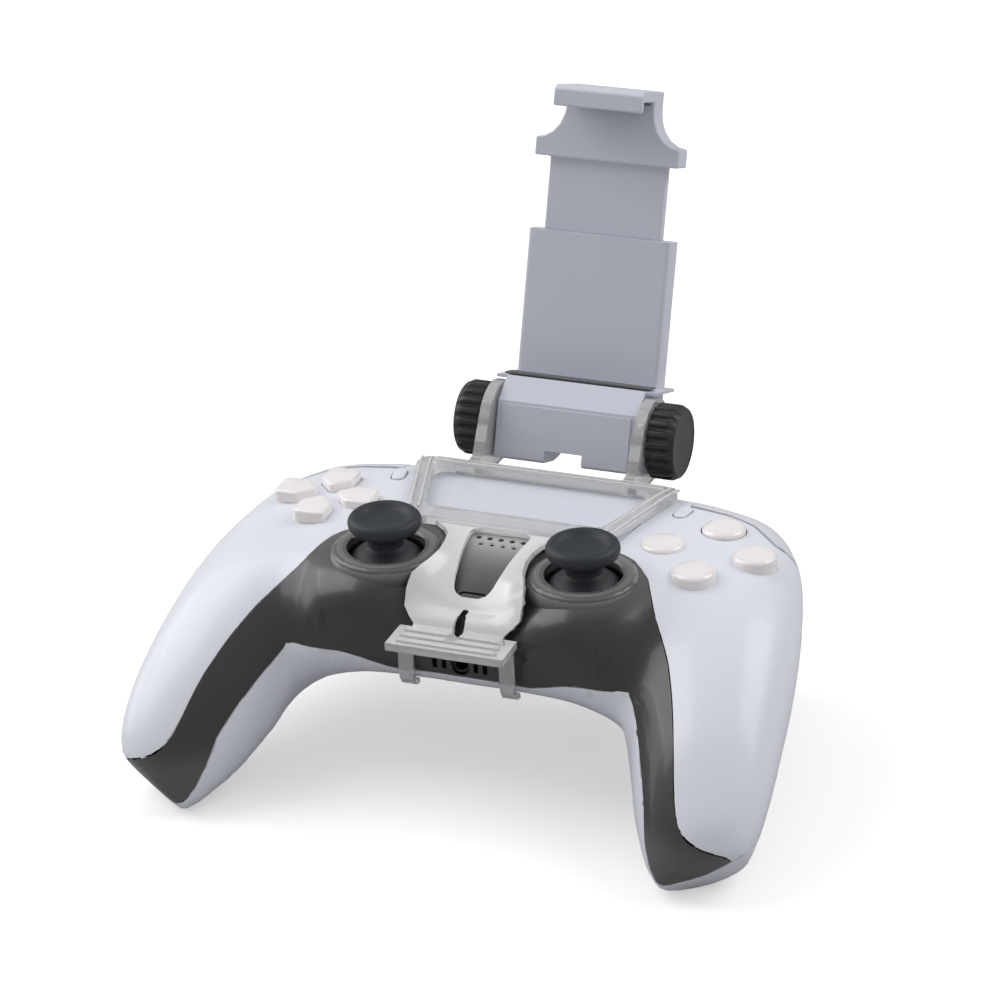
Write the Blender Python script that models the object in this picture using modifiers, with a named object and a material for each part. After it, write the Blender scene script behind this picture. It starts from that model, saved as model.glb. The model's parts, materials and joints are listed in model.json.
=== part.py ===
"""Game controller with a clip-on phone mount.

The controller lies face up on its grip tips and triggers.  Lengths are written in millimetres
and multiplied by MM.  The face frame has its zero on the touchpad plane, +Y towards the rear,
and X = 0 on the plane of symmetry.  The world frame has its floor under the grips.
"""
import math

import bmesh
import bpy
from mathutils import Matrix, Vector
from mathutils.bvhtree import BVHTree

MM = 0.001

# Placing of the face frame in the world
FACE_HEIGHT = 54.0 * MM
FACE_SHIFT_Y = -14.5 * MM

# Clearances
SEAM = 0.3 * MM
RUNNING_GAP = 0.35 * MM

# Body of the controller: sections from the middle to the grip tip, in millimetres.  Each section is
# an oval through four points, and the last numbers say how square its four quarters are.
# inner point, top point, outer point, bottom point, (inner-top, top-outer, outer-bottom, bottom-inner)
SECTIONS = [
    ((0, -30.5, -19.5), (0, 3.5, 0.0), (0, 37.5, -13.0), (0, 4, -32.0), (2.0, 8.0, 3.2, 2.4)),
    ((13, -31.0, -19.3), (14, 3.3, 0.0), (15, 37.7, -13.0), (14, 4, -32.2), (2.3, 8.0, 3.2, 2.3)),
    ((26, -32.5, -18.6), (29, 2.7, 0.0), (32, 37.8, -13.0), (29, 3, -33.5), (4.6, 7.0, 3.0, 2.1)),
    ((36, -33.2, -18.0), (42, 4, -0.1), (48, 36.4, -13.0), (42, -3, -36.5), (3.7, 4.4, 2.8, 1.9)),
    ((41.5, -33.0, -19.0), (52, 5, -0.6), (61.5, 31.0, -14.0), (50, -8, -39.5), (3.0, 2.7, 2.6, 2.0)),
    ((44.0, -34.5, -22.0), (58, -1, -1.4), (69.7, 19.5, -16.0), (55, -14, -41.0), (2.8, 2.3, 2.5, 2.4)),
    ((46.0, -37.5, -25.0), (62.0, -10, -3.0), (75.0, 3.5, -19.0), (58, -22, -43.5), (2.6, 2.0, 2.4, 2.6)),
    ((48.0, -42.5, -29.0), (65.2, -20, -6.2), (78.3, -13.0, -24.5), (61, -31, -47.0), (2.5, 2.0, 2.3, 2.6)),
    ((50.5, -48.5, -33.5), (68, -31, -11.2), (80.0, -27.5, -30.5), (63, -40, -50.0), (2.4, 2.0, 2.3, 2.6)),
    ((53.5, -54.5, -38.0), (71, -42.5, -18.4), (80.7, -39.0, -37.0), (65, -48, -52.5), (2.4, 2.0, 2.3, 2.5)),
    ((57.0, -60.0, -42.5), (73.2, -52, -26.6), (80.5, -48.0, -42.5), (66.5, -54.5, -54.0), (2.3, 2.1, 2.3, 2.4)),
    ((60.5, -63.5, -46.5), (74.2, -59, -34.0), (79.0, -54.5, -46.5), (68, -59, -54.2), (2.2, 2.1, 2.2, 2.2)),
    ((64.5, -64.8, -48.5), (73.2, -62.3, -40.0), (76.5, -59.5, -47.5), (69.5, -61.5, -53.0), (2.0, 2.0, 2.0, 2.0)),
]
TIP_POINT = (70.5, -64.5, -48.0)
# The flat end of each grip: direction that it faces and distance from the face frame's zero
TIP_FLAT = (0.49, -0.65, -0.58)
TIP_FLAT_DISTANCE = 101.3
TIP_FLAT_ROUNDING = 1.6
RINGS_PER_SECTION = 2
LEVEL_TO_X = 62
LEVEL_FADE = 20
POINTS_PER_QUARTER = 5

# Seam between the upper mouldings and the back shell as lines of (y, z): the same line up to
# SEAM_INNER_X, then one through the middle of the grip tip and one past the outer side
SEAM_INNER = [(60, -15.5), (37, -16.0), (0, -17.5), (-20, -18.0), (-32.5, -18.3), (-35, -21.3), (-40.5, -24.8),
              (-48, -29.8), (-54, -35.0), (-60, -43.5), (-62.2, -47.5), (-63.8, -50.2), (-75, -50.8)]
SEAM_MIDDLE = [(60, -17), (37, -17.5), (0, -21.5), (-20, -23.5), (-32.5, -26), (-35, -28), (-40.5, -31),
               (-48, -36), (-54, -42), (-60, -48.8), (-62.2, -49.9), (-63.8, -50.4), (-75, -50.8)]
SEAM_OUTER = [(60, -19), (37, -20), (0, -27), (-20, -31), (-32.5, -35.7), (-35, -36.9), (-40.5, -38.9),
              (-48, -41.2), (-54, -42.6), (-60, -43.6), (-62.2, -43.8), (-63.8, -44), (-75, -44.5)]
SEAM_CENTRE_DROP = 4.2
SEAM_CENTRE_X = 18
SEAM_SIDE_X = 30
SEAM_INNER_X = 60
SEAM_MIDDLE_X = 70
SEAM_OUTER_X = 84
SEAM_END_X = 100

# Edge of the white wing beside the dark centre, seen from above (x, y), from the stick to the tip
WING_EDGE = [(40.8, -8.9), (42.3, -12.5), (44.0, -16.0), (46.1, -19.5), (49.5, -24.2), (52.6, -29.2), (55.9, -36.5),
             (59.6, -46.3), (62.6, -56.0), (64.0, -59.3), (66.0, -62.0), (68.5, -68)]
# Dark face at the grip tip, seen from the front (x, z)
TIP_FACE = [(60, -33), (66.5, -36.8), (68.4, -38.2), (71.5, -39.7), (74.4, -40.3), (76.2, -41.1), (77.0, -43),
            (77.2, -46), (77.2, -60), (60, -60)]
TIP_FACE_Y = -52

# Touchpad
PAD_REAR_HALF = 33.0 * MM
PAD_FRONT_HALF = 27.2 * MM
PAD_REAR_Y = 35.6 * MM
PAD_FRONT_Y = 2.2 * MM
PAD_THICKNESS = 2.2 * MM
PAD_PRESS_ROOM = 1.2 * MM

# Sticks
STICK_X = 25.65 * MM
STICK_Y = -12.2 * MM
STICK_PIVOT_Z = -11.0 * MM
STICK_CAP_RADIUS = 9.05 * MM
STICK_TOP_Z = 8.9 * MM
STICK_OPENING_RADIUS = 9.7 * MM
STICK_RING_RADIUS = 13.5 * MM
STICK_RING_TOP_Z = 0.4 * MM
STICK_DOME_RADIUS = 12.4 * MM
STICK_DOME_WALL = 1.1 * MM
STICK_DOME_REACH = math.radians(65)
STICK_CAVITY_RADIUS = 13.1 * MM
STICK_NECK_RADIUS = 5.2 * MM
STICK_POST_RADIUS = 2.2 * MM
STICK_HUB_RADIUS = 3.6 * MM
STICK_CLICK = 0.4 * MM
GIMBAL_INNER = 5.2 * MM
GIMBAL_OUTER = 7.7 * MM
GIMBAL_HEIGHT = 3.2 * MM
GIMBAL_PIN_RADIUS = 1.1 * MM
GIMBAL_PIN_SEAT = 1.2 * MM

# Buttons
CLUSTER_X = 50.4 * MM
CLUSTER_Y = 8.2 * MM
CLUSTER_SURFACE_Z = -0.8 * MM
KEY_CLUSTER_Y = 9.1 * MM
KEY_RISE = 2.8 * MM
BUTTON_SPACING = 11.75 * MM
BUTTON_RADIUS = 5.4 * MM
BUTTON_RISE = 2.1 * MM
BUTTON_DEPTH = 5.2 * MM
BUTTON_TRAVEL = 1.4 * MM
KEY_INNER = 2.3 * MM
KEY_OUTER = 13.0 * MM
KEY_HALF_WIDTH = 4.3 * MM
SMALL_BUTTON_X = 37.8 * MM
SMALL_BUTTON_Y = 26.0 * MM
SMALL_BUTTON_LENGTH = 6.4 * MM
SMALL_BUTTON_WIDTH = 3.4 * MM
SMALL_BUTTON_RISE = 0.5 * MM
MUTE_Y = -20.4 * MM
MUTE_LENGTH = 6.9 * MM
MUTE_WIDTH = 2.0 * MM
MUTE_SLOPE = math.radians(28)

# Speaker holes, jack and port
SPEAKER_PITCH = 2.9 * MM
SPEAKER_HOLE_RADIUS = 0.75 * MM
SPEAKER_FIRST_ROW_Y = -0.6 * MM
JACK_Z = -19.4 * MM
JACK_RADIUS = 2.25 * MM
JACK_BORE_RADIUS = 1.7 * MM
CONTACT_SLOTS_X = (4.1 * MM, 6.5 * MM)
PORT_WIDTH = 9.0 * MM
PORT_HEIGHT = 3.3 * MM
PORT_Z = -10.0 * MM

# Bumpers and triggers
BUMPER_FLOOR_Z = -9.2 * MM
BUMPER_TRAVEL = 1.0 * MM
TRIGGER_INNER_X = 40.0 * MM
TRIGGER_OUTER_X = 59.0 * MM
TRIGGER_PIVOT_Y = 27.5 * MM
TRIGGER_PIVOT_Z = -13.5 * MM
TRIGGER_PIN_RADIUS = 1.3 * MM
TRIGGER_PIN_SEAT = 1.4 * MM

# Phone mount: clear bracket
MOUNT_LEAN = math.radians(20.0)
HINGE_Y = 51.4 * MM
HINGE_Z = 5.8 * MM
FRAME_OUTER = [(25.6, 1.6), (36.6, 36.8)]  # right half, from the front to the rear
FRAME_INNER = [(23.4, 7.4), (29.8, 30.0)]
FRAME_OUTER_CORNERS = [6 * MM, 4 * MM, 4 * MM, 6 * MM]
FRAME_INNER_CORNERS = [4 * MM, 3 * MM, 3 * MM, 4 * MM]
FRAME_THICKNESS = 2.3 * MM
FRAME_LIFT = 0.4 * MM
# Underside of the frame from front to rear (y, z)
FRAME_SIDE = [(0, 0.35), (28, 0.3), (31, 0.1), (34, -0.4), (35.5, -1.0), (37, -1.9)]
STEM_THICKNESS = 1.2 * MM
STEM_EDGE_Y = -27.5 * MM  # where the stem turns down over the front edge
STEM_EDGE_Z = -8.8 * MM
SHELF_HALF = 15.0 * MM
SHELF_FRONT_Y = -40.3 * MM
SHELF_REAR_Y = -30.5 * MM
SHELF_TOP_Z = -10.3 * MM
SHELF_THICKNESS = 2.0 * MM
SHELF_RIBS_Y = (-38.4 * MM, -35.6 * MM, -32.8 * MM)
HOOK_WIDTH = 3.4 * MM
BLOCK_HALF = 18.7 * MM
EAR_GAP = 0.5 * MM
EAR_INNER_X = BLOCK_HALF + EAR_GAP
EAR_THICKNESS = 2.8 * MM
EAR_RADIUS = 10.6 * MM
BOLT_RADIUS = 2.5 * MM
KNOB_RADIUS = 9.7 * MM
KNOB_LENGTH = 7.3 * MM
KNOB_TEETH = 20

# Phone mount: clamp, in the hinge's own frame (y towards the back of the clamp, z along it)
JAW_HALF = 21.5 * MM
JAW_SHELF_Z = 12.0 * MM
JAW_OPENING = 72.0 * MM
PLATE_FRONT_Y = 6.6 * MM
SLEEVE_HALF = 19.3 * MM
SLEEVE_DEPTH = 7.0 * MM
SLEEVE_TOP_Z = 49.3 * MM
SLIDER_HALF = 15.7 * MM
SLIDER_THICKNESS = 3.0 * MM
SLIDER_WALL_GAP = 2.1 * MM
SLIDER_FOOT_Z = 22.0 * MM
SLIDER_ROOM_Z = 4.0 * MM
FLARE_HALF = 19.3 * MM
FLARE_HEIGHT = 4.7 * MM
NECK_HALF = 11.8 * MM
UPPER_JAW_HEIGHT = 15.9 * MM
JAW_THICKNESS = 2.8 * MM
PHONE_DEPTH = 8.4 * MM
PAD_SHEET = 0.5 * MM
LOWER_PAD_FRONT_Y = -0.8 * MM
LOWER_PAD_CORNER = 2.4 * MM  # what the pad leaves free in front of the sleeve


def material(name, colour, roughness, metallic=0.0, transmission=0.0):
    """A Principled material with one plain finish."""
    made = bpy.data.materials.new(name)
    made.use_nodes = True
    shader = made.node_tree.nodes["Principled BSDF"]
    shader.inputs["Base Color"].default_value = (*colour, 1.0)
    shader.inputs["Roughness"].default_value = roughness
    shader.inputs["Metallic"].default_value = metallic
    shader.inputs["Transmission Weight"].default_value = transmission
    made.diffuse_color = (*colour, 1.0)
    return made


def empty_at(name, location, parent=None, turn_x=0.0):
    """An empty that carries other objects; it is not a part."""
    made = bpy.data.objects.new(name, None)
    made.location = location
    made.rotation_euler = (turn_x, 0.0, 0.0)
    made.parent = parent
    PARTS.objects.link(made)
    return made


def add_mesh(name, mesh, parent, finish, collection):
    """Link a mesh as an object under a parent empty."""
    made = bpy.data.objects.new(name, mesh)
    made.parent = parent
    collection.objects.link(made)
    if finish:
        mesh.materials.clear()
        mesh.materials.append(finish)
    return made


def part(name, mesh, parent, finish):
    """A piece of the object, smooth except at its sharp edges."""
    mesh.shade_smooth()
    mesh.set_sharp_from_angle(angle=math.radians(35))
    return add_mesh(name, mesh, parent, finish, PARTS)


def cutter(name, mesh, parent):
    """A helper solid, left out of the model."""
    made = add_mesh(name, mesh, parent, None, CUTTERS)
    made.hide_render = True
    made.display_type = "WIRE"
    return made


def boolean(target, other, operation):
    """Cut, join or intersect a part with another solid."""
    modifier = target.modifiers.new(f"{operation.lower()} {other.name}", "BOOLEAN")
    modifier.operation = operation
    modifier.solver = "EXACT"
    modifier.object = other
    return modifier


def put_origin(part_object, point):
    """Move an object's origin onto its joint without moving its shape."""
    part_object.data.transform(Matrix.Translation(-Vector(point)))
    part_object.location = point


def smooth_edges(target, width, segments=1):
    """Round the sharp edges of a plain solid."""
    modifier = target.modifiers.new("round edges", "BEVEL")
    modifier.width = width
    modifier.segments = segments
    modifier.limit_method = "ANGLE"
    modifier.angle_limit = math.radians(40)
    return modifier


def box_mesh(low, high):
    """A box between two corners."""
    mesh = bpy.data.meshes.new("box")
    shape = bmesh.new()
    bmesh.ops.create_cube(shape, size=1.0)
    size = [high[axis] - low[axis] for axis in range(3)]
    centre = [(high[axis] + low[axis]) / 2 for axis in range(3)]
    bmesh.ops.scale(shape, vec=size, verts=shape.verts)
    bmesh.ops.translate(shape, vec=centre, verts=shape.verts)
    shape.to_mesh(mesh)
    shape.free()
    return mesh


def rod_mesh(start, end, radius, segments=20, end_radius=None):
    """A round rod or cone between two points."""
    start, end = Vector(start), Vector(end)
    mesh = bpy.data.meshes.new("rod")
    shape = bmesh.new()
    bmesh.ops.create_cone(shape, cap_ends=True, segments=segments, radius1=radius,
                          radius2=radius if end_radius is None else end_radius, depth=(end - start).length)
    turn = (end - start).to_track_quat("Z", "Y").to_matrix().to_4x4()
    bmesh.ops.transform(shape, matrix=Matrix.Translation((start + end) / 2) @ turn, verts=shape.verts)
    shape.to_mesh(mesh)
    shape.free()
    return mesh


def lathe_mesh(profile, centre, segments=24):
    """A turned solid: (radius, height) points from the top of the axis down the outer side and back."""
    mesh = bpy.data.meshes.new("turned profile")
    points = [(radius, 0.0, height) for radius, height in profile]
    mesh.from_pydata(points, [(i, i + 1) for i in range(len(points) - 1)], [])
    profile_object = bpy.data.objects.new("turned profile", mesh)
    CUTTERS.objects.link(profile_object)
    screw = profile_object.modifiers.new("turn", "SCREW")
    screw.steps = segments
    screw.render_steps = segments
    screw.use_merge_vertices = True
    screw.merge_threshold = 0.00001
    screw.use_normal_calculate = True
    made = evaluated_mesh(profile_object)
    made.transform(Matrix.Translation(centre))
    bpy.data.objects.remove(profile_object)
    return outward(made)


def evaluated_mesh(source):
    """A plain mesh of an object with its modifiers applied."""
    bpy.context.view_layer.update()
    shown = source.evaluated_get(bpy.context.evaluated_depsgraph_get())
    return bpy.data.meshes.new_from_object(shown)


def outward(mesh):
    """Weld a mesh and turn its faces outwards."""
    shape = bmesh.new()
    shape.from_mesh(mesh)
    bmesh.ops.remove_doubles(shape, verts=shape.verts, dist=0.00001)
    bmesh.ops.recalc_face_normals(shape, faces=shape.faces)
    shape.to_mesh(mesh)
    shape.free()
    return mesh


PLANES = {
    "XY": Matrix(((1, 0, 0, 0), (0, 1, 0, 0), (0, 0, 1, 0), (0, 0, 0, 1))),
    "YZ": Matrix(((0, 0, 1, 0), (1, 0, 0, 0), (0, 1, 0, 0), (0, 0, 0, 1))),
    "XZ": Matrix(((1, 0, 0, 0), (0, 0, -1, 0), (0, 1, 0, 0), (0, 0, 0, 1))),
}


def plate_mesh(loops, low, high, plane="XY"):
    """A flat outline, with any holes, extruded across its plane from low to high.

    In the XZ plane the extrusion runs along -Y, so low and high are given along Y and turned here.
    """
    if plane == "XZ":
        low, high = -high, -low
    curve = bpy.data.curves.new("outline", "CURVE")
    curve.dimensions = "2D"
    curve.fill_mode = "BOTH"
    curve.extrude = (high - low) / 2
    for loop in loops:
        spline = curve.splines.new("POLY")
        spline.points.add(len(loop) - 1)
        for point, (u, v) in zip(spline.points, loop):
            point.co = (u, v, 0.0, 1.0)
        spline.use_cyclic_u = True
    flat = bpy.data.objects.new("outline", curve)
    CUTTERS.objects.link(flat)
    mesh = evaluated_mesh(flat)
    bpy.data.objects.remove(flat)
    mesh.transform(PLANES[plane] @ Matrix.Translation((0, 0, (high + low) / 2)))
    return outward(mesh)


def rounded(points, radius, steps=4):
    """Round the corners of a polygon with arcs; radius may be one value or one per corner."""
    radii = radius if isinstance(radius, (list, tuple)) else [radius] * len(points)
    result = []
    for index, corner in enumerate(points):
        here = Vector(corner)
        before = Vector(points[index - 1]) - here
        after = Vector(points[(index + 1) % len(points)]) - here
        if radii[index] <= 0:
            result.append(tuple(here))
            continue
        half_angle = before.angle(after) / 2
        reach = min(radii[index] / math.tan(half_angle), before.length * 0.49, after.length * 0.49)
        arc_radius = reach * math.tan(half_angle)
        centre = here + (before.normalized() + after.normalized()).normalized() * arc_radius / math.sin(half_angle)
        start = here + before.normalized() * reach - centre
        end = here + after.normalized() * reach - centre
        sweep = start.angle(end)
        for step in range(steps + 1):
            share = step / steps
            blend = (start * math.sin((1 - share) * sweep) + end * math.sin(share * sweep)) / math.sin(sweep)
            result.append(tuple(centre + blend))
    return result


def arc(centre, radius, start, end, steps):
    """Points on a circular arc, angles in degrees."""
    angles = [math.radians(start + (end - start) * step / steps) for step in range(steps + 1)]
    return [(centre[0] + radius * math.cos(a), centre[1] + radius * math.sin(a)) for a in angles]


def scaled(points):
    """Millimetre points in metres."""
    return [tuple(value * MM for value in point) for point in points]


def mirrored(points):
    """Points seen in the plane of symmetry."""
    return [(-point[0], *point[1:]) for point in points]


def catmull_rom(before, start, end, after, share):
    """A smooth value between start and end."""
    return 0.5 * (2 * start + (end - before) * share
                  + (2 * before - 5 * start + 4 * end - after) * share ** 2
                  + (3 * start - before - 3 * end + after) * share ** 3)


def flat_section(section, side):
    """One section as a flat list of numbers, for the right or the left half."""
    inner, top, outer, bottom, squareness = section
    numbers = []
    for x, y, z in (inner, top, outer, bottom):
        numbers += [x * side, y, z]
    return numbers + list(squareness)


def section_ring(numbers):
    """Points round one oval section, from the inner point over the top to the outer point and back below.

    Towards the middle of the body the ovals are squared up, so that their tops stay level.
    """
    inner, top, outer, bottom = (Vector(numbers[i:i + 3]) for i in (0, 3, 6, 9))
    centre = (inner + outer) / 2
    square = min(max((LEVEL_TO_X - abs(centre.x)) / LEVEL_FADE, 0), 1)
    corners = (inner, top, outer, bottom, inner)
    ring = []
    for quarter in range(4):
        side = outer if quarter in (1, 2) else inner
        middle = Vector((centre.x, centre.y, centre.z + (side.z - centre.z) * square))
        first = corners[quarter] - middle
        second = corners[quarter + 1] - middle
        power = 2 / numbers[12 + quarter]
        for step in range(POINTS_PER_QUARTER):
            angle = math.pi / 2 * step / POINTS_PER_QUARTER
            ring.append(middle + first * math.cos(angle) ** power + second * math.sin(angle) ** power)
    return ring


def flattened_tip(point):
    """Presses a point of the hull back to the flat end of its grip, with a soft edge."""
    facing = Vector((math.copysign(TIP_FLAT[0], point.x), TIP_FLAT[1], TIP_FLAT[2])).normalized()
    beyond = point.dot(facing) - TIP_FLAT_DISTANCE
    if beyond <= -TIP_FLAT_ROUNDING:
        return point
    kept = -TIP_FLAT_ROUNDING + (1 - math.exp(-(beyond + TIP_FLAT_ROUNDING) / TIP_FLAT_ROUNDING)) * TIP_FLAT_ROUNDING
    return point - facing * (beyond - kept)


def hull_mesh():
    """The whole outside of the controller, lofted from one grip tip to the other."""
    stations = [flat_section(s, -1) for s in reversed(SECTIONS[1:])] + [flat_section(s, 1) for s in SECTIONS]
    rings = []
    for index in range(len(stations) - 1):
        before = stations[max(index - 1, 0)]
        after = stations[min(index + 2, len(stations) - 1)]
        for step in range(RINGS_PER_SECTION):
            share = step / RINGS_PER_SECTION
            rings.append([catmull_rom(b, s, e, a, share)
                          for b, s, e, a in zip(before, stations[index], stations[index + 1], after)])
    rings.append(stations[-1])
    shape = bmesh.new()
    loops = [[shape.verts.new(flattened_tip(point) * MM) for point in section_ring(ring)] for ring in rings]
    count = len(loops[0])
    for first, second in zip(loops, loops[1:]):
        for i in range(count):
            shape.faces.new((first[i], first[(i + 1) % count], second[(i + 1) % count], second[i]))
    for loop, side in ((loops[0], -1), (loops[-1], 1)):
        tip = shape.verts.new(flattened_tip(Vector((TIP_POINT[0] * side, TIP_POINT[1], TIP_POINT[2]))) * MM)
        for i in range(count):
            shape.faces.new((loop[i], loop[(i + 1) % count], tip))
    bmesh.ops.recalc_face_normals(shape, faces=shape.faces)
    bmesh.ops.triangulate(shape, faces=shape.faces)
    mesh = bpy.data.meshes.new("controller hull")
    shape.to_mesh(mesh)
    shape.free()
    return mesh


def start_scene():
    """Empty the scene and make the two collections."""
    global PARTS, CUTTERS
    for old in list(bpy.data.objects):
        bpy.data.objects.remove(old)
    PARTS = bpy.data.collections.new("controller with phone mount")
    CUTTERS = bpy.data.collections.new("cutters")
    for collection in (PARTS, CUTTERS):
        bpy.context.scene.collection.children.link(collection)


start_scene()
FINISH = {
    "shell": material("shell white", (0.74, 0.75, 0.83), 0.38),
    "shoulder": material("shoulder grey", (0.66, 0.67, 0.72), 0.35),
    "trim": material("gloss dark trim", (0.035, 0.033, 0.035), 0.22),
    "stick": material("stick rubber", (0.022, 0.028, 0.036), 0.55),
    "button": material("pearl button", (0.86, 0.83, 0.80), 0.15),
    "clear": material("clear plastic", (0.92, 0.93, 0.94), 0.05, transmission=0.9),
    "clamp": material("clamp plastic", (0.56, 0.58, 0.66), 0.42),
    "knob": material("knob black", (0.018, 0.018, 0.018), 0.5),
    "steel": material("steel", (0.6, 0.6, 0.6), 0.3, metallic=1.0),
    "rubber": material("grey rubber", (0.12, 0.12, 0.13), 0.8),
}
FACE = empty_at("face_frame", (0.0, FACE_SHIFT_Y, FACE_HEIGHT))
HINGE = empty_at("mount_hinge", (0.0, HINGE_Y, HINGE_Z), FACE, -MOUNT_LEAN)
HULL = hull_mesh()

FAR = 100 * MM


def wing_outline(gap):
    """The right wing from above; the gap shrinks it away from the touchpad and the dark centre."""
    ring = arc((STICK_X, STICK_Y), STICK_RING_RADIUS + 0.6 * MM + gap, 76, 22, 6)
    edge = [(x + gap * 0.8, y + gap * 0.5) for x, y in scaled(WING_EDGE)]
    beside = RUNNING_GAP - SEAM / 2 + gap
    pad_side = [(PAD_REAR_HALF + beside, FAR), (PAD_REAR_HALF + beside, PAD_REAR_Y),
                (PAD_FRONT_HALF + beside, PAD_FRONT_Y)]
    return pad_side + ring + edge + [(FAR, edge[-1][1]), (FAR, FAR)]


def above_seam_mesh(gap):
    """Everything above the back shell's seam, which sinks towards the outer sides of the grips."""
    shape = bmesh.new()
    loops = []
    centre = [(y, z - SEAM_CENTRE_DROP) for y, z in SEAM_INNER]
    half = ((SEAM_CENTRE_X, centre), (SEAM_SIDE_X, SEAM_INNER), (SEAM_INNER_X, SEAM_INNER),
            (SEAM_MIDDLE_X, SEAM_MIDDLE), (SEAM_OUTER_X, SEAM_OUTER), (SEAM_END_X, SEAM_OUTER))
    for x, line in [(-x, line) for x, line in reversed(half)] + list(half):
        points = [Vector((x * MM, y, z)) for y, z in moved_off(scaled(line), gap)]
        points += [Vector((x * MM, -FAR, points[-1].z)), Vector((x * MM, -FAR, FAR)), Vector((x * MM, FAR, FAR)),
                   Vector((x * MM, FAR, points[0].z))]
        loops.append([shape.verts.new(point) for point in points])
    return skinned(shape, loops, "above the seam")


def moved_off(line, gap):
    """A line of (y, z) running forward, moved upwards off itself by a gap."""
    result = []
    for i, (y, z) in enumerate(line):
        before, after = line[max(i - 1, 0)], line[min(i + 1, len(line) - 1)]
        along = Vector((after[0] - before[0], after[1] - before[1])).normalized()
        result.append((y + along.y * gap, z - along.x * gap))
    return result


def skinned(shape, loops, name):
    """Closes a row of equal loops of vertices into one solid mesh."""
    for first, second in zip(loops, loops[1:]):
        for i in range(len(first)):
            j = (i + 1) % len(first)
            shape.faces.new((first[i], first[j], second[j], second[i]))
    shape.faces.new(loops[0])
    shape.faces.new(loops[-1])
    bmesh.ops.recalc_face_normals(shape, faces=shape.faces)
    bmesh.ops.triangulate(shape, faces=shape.faces)
    mesh = bpy.data.meshes.new(name)
    shape.to_mesh(mesh)
    shape.free()
    return mesh


def tip_face_mesh(side, gap):
    """The part of a grip tip that belongs to the dark centre; a gap makes it smaller."""
    corners = [(x + (gap if x < 61 * MM else -gap * 0.7), z - (gap if z > -59 * MM else 0)) for x, z in scaled(TIP_FACE)]
    if side < 0:
        corners = mirrored(corners)
    return plate_mesh([corners], -FAR, TIP_FACE_Y * MM - gap, "XZ")


def pad_outline(grow):
    """The touchpad from above."""
    corners = [(-PAD_REAR_HALF - grow, PAD_REAR_Y + grow), (-PAD_FRONT_HALF - grow, PAD_FRONT_Y - grow),
               (PAD_FRONT_HALF + grow, PAD_FRONT_Y - grow), (PAD_REAR_HALF + grow, PAD_REAR_Y + grow)]
    return rounded(corners, [1.5 * MM, 4 * MM, 4 * MM, 1.5 * MM])


def bumper_outline(grow):
    """The right bumper from above; the front edge follows the shoulder."""
    front = [(38.5 * MM - min(grow, SEAM), 31.2 * MM), (48 * MM, 30.2 * MM), (56 * MM, 27.0 * MM), (63.5 * MM, 20.5 * MM)]
    front = [(x, y - grow) for x, y in front]
    return front + [(75 * MM, front[-1][1]), (75 * MM, 60 * MM), (front[0][0], 60 * MM)]


def pill(length, width, steps=5):
    """A straight slot shape with round ends, long along Y."""
    run = (length - width) / 2
    return arc((0, run), width / 2, 0, 180, steps) + arc((0, -run), width / 2, 180, 360, steps)


def moved(points, x, y, turn=0.0):
    """Flat points turned and moved."""
    c, s = math.cos(turn), math.sin(turn)
    return [(x + u * c - v * s, y + u * s + v * c) for u, v in points]


def pod_mesh(grow):
    """The raised ring and shoulder round a stick."""
    profile = scaled([(0, 0.4), (12.4, 0.4), (13.3, 0.0), (13.7, -1.5), (14.3, -4.5), (15.2, -8), (15.4, -14), (0, -14)])
    profile = [(r + grow if r else 0.0, z + (grow if z > -0.01 else -grow)) for r, z in profile]
    return lathe_mesh(profile, (0, 0, 0), 24)


def key_outline(grow):
    """A direction key pointing along +X: square outside, pointed towards the middle."""
    shoulder = KEY_INNER + KEY_HALF_WIDTH
    points = [(KEY_INNER - grow * 1.4, 0), (shoulder, -KEY_HALF_WIDTH - grow), (KEY_OUTER + grow, -KEY_HALF_WIDTH - grow),
              (KEY_OUTER + grow, KEY_HALF_WIDTH + grow), (shoulder, KEY_HALF_WIDTH + grow)]
    return rounded(points, [1.2 * MM, 1.5 * MM, 1.8 * MM, 1.8 * MM, 1.5 * MM], 2)


def build_body():
    """The mouldings of the controller, all cut from one outside shape."""
    upper = cutter("upper half", above_seam_mesh(SEAM / 2), FACE)
    lower_cut = cutter("upper half with seam", above_seam_mesh(-SEAM / 2), FACE)
    body = {"back_shell": part("back_shell", HULL.copy(), FACE, FINISH["shell"])}
    boolean(body["back_shell"], lower_cut, "DIFFERENCE")
    centre = part("centre_trim", HULL.copy(), FACE, FINISH["trim"])
    boolean(centre, upper, "INTERSECT")
    body["centre_trim"] = centre
    for side, name in ((1, "right"), (-1, "left")):
        outline = wing_outline(SEAM / 2)
        cut_outline = wing_outline(-SEAM / 2)
        if side < 0:
            outline, cut_outline = mirrored(outline), mirrored(cut_outline)
        keep = cutter(f"{name} wing region", plate_mesh([outline], -FAR, FAR), FACE)
        clear = cutter(f"{name} wing clearance", plate_mesh([cut_outline], -FAR, FAR), FACE)
        tip_clear = cutter(f"{name} tip face clearance", tip_face_mesh(side, -SEAM / 2), FACE)
        boolean(clear, cutter(f"{name} tip face", tip_face_mesh(side, SEAM / 2), FACE), "DIFFERENCE")
        wing = part(f"wing_{name}", HULL.copy(), FACE, FINISH["shell"])
        boolean(wing, upper, "INTERSECT")
        boolean(wing, keep, "INTERSECT")
        boolean(wing, tip_clear, "DIFFERENCE")
        boolean(centre, clear, "DIFFERENCE")
        pod = cutter(f"{name} stick shoulder", pod_mesh(0), FACE)
        pod_clear = cutter(f"{name} stick shoulder clearance", pod_mesh(SEAM), FACE)
        for solid in (pod, pod_clear):
            solid.location = (side * STICK_X, STICK_Y, 0)
        boolean(centre, pod, "UNION")
        boolean(wing, pod_clear, "DIFFERENCE")
        body[f"wing_{name}"] = wing
    return body


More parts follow.
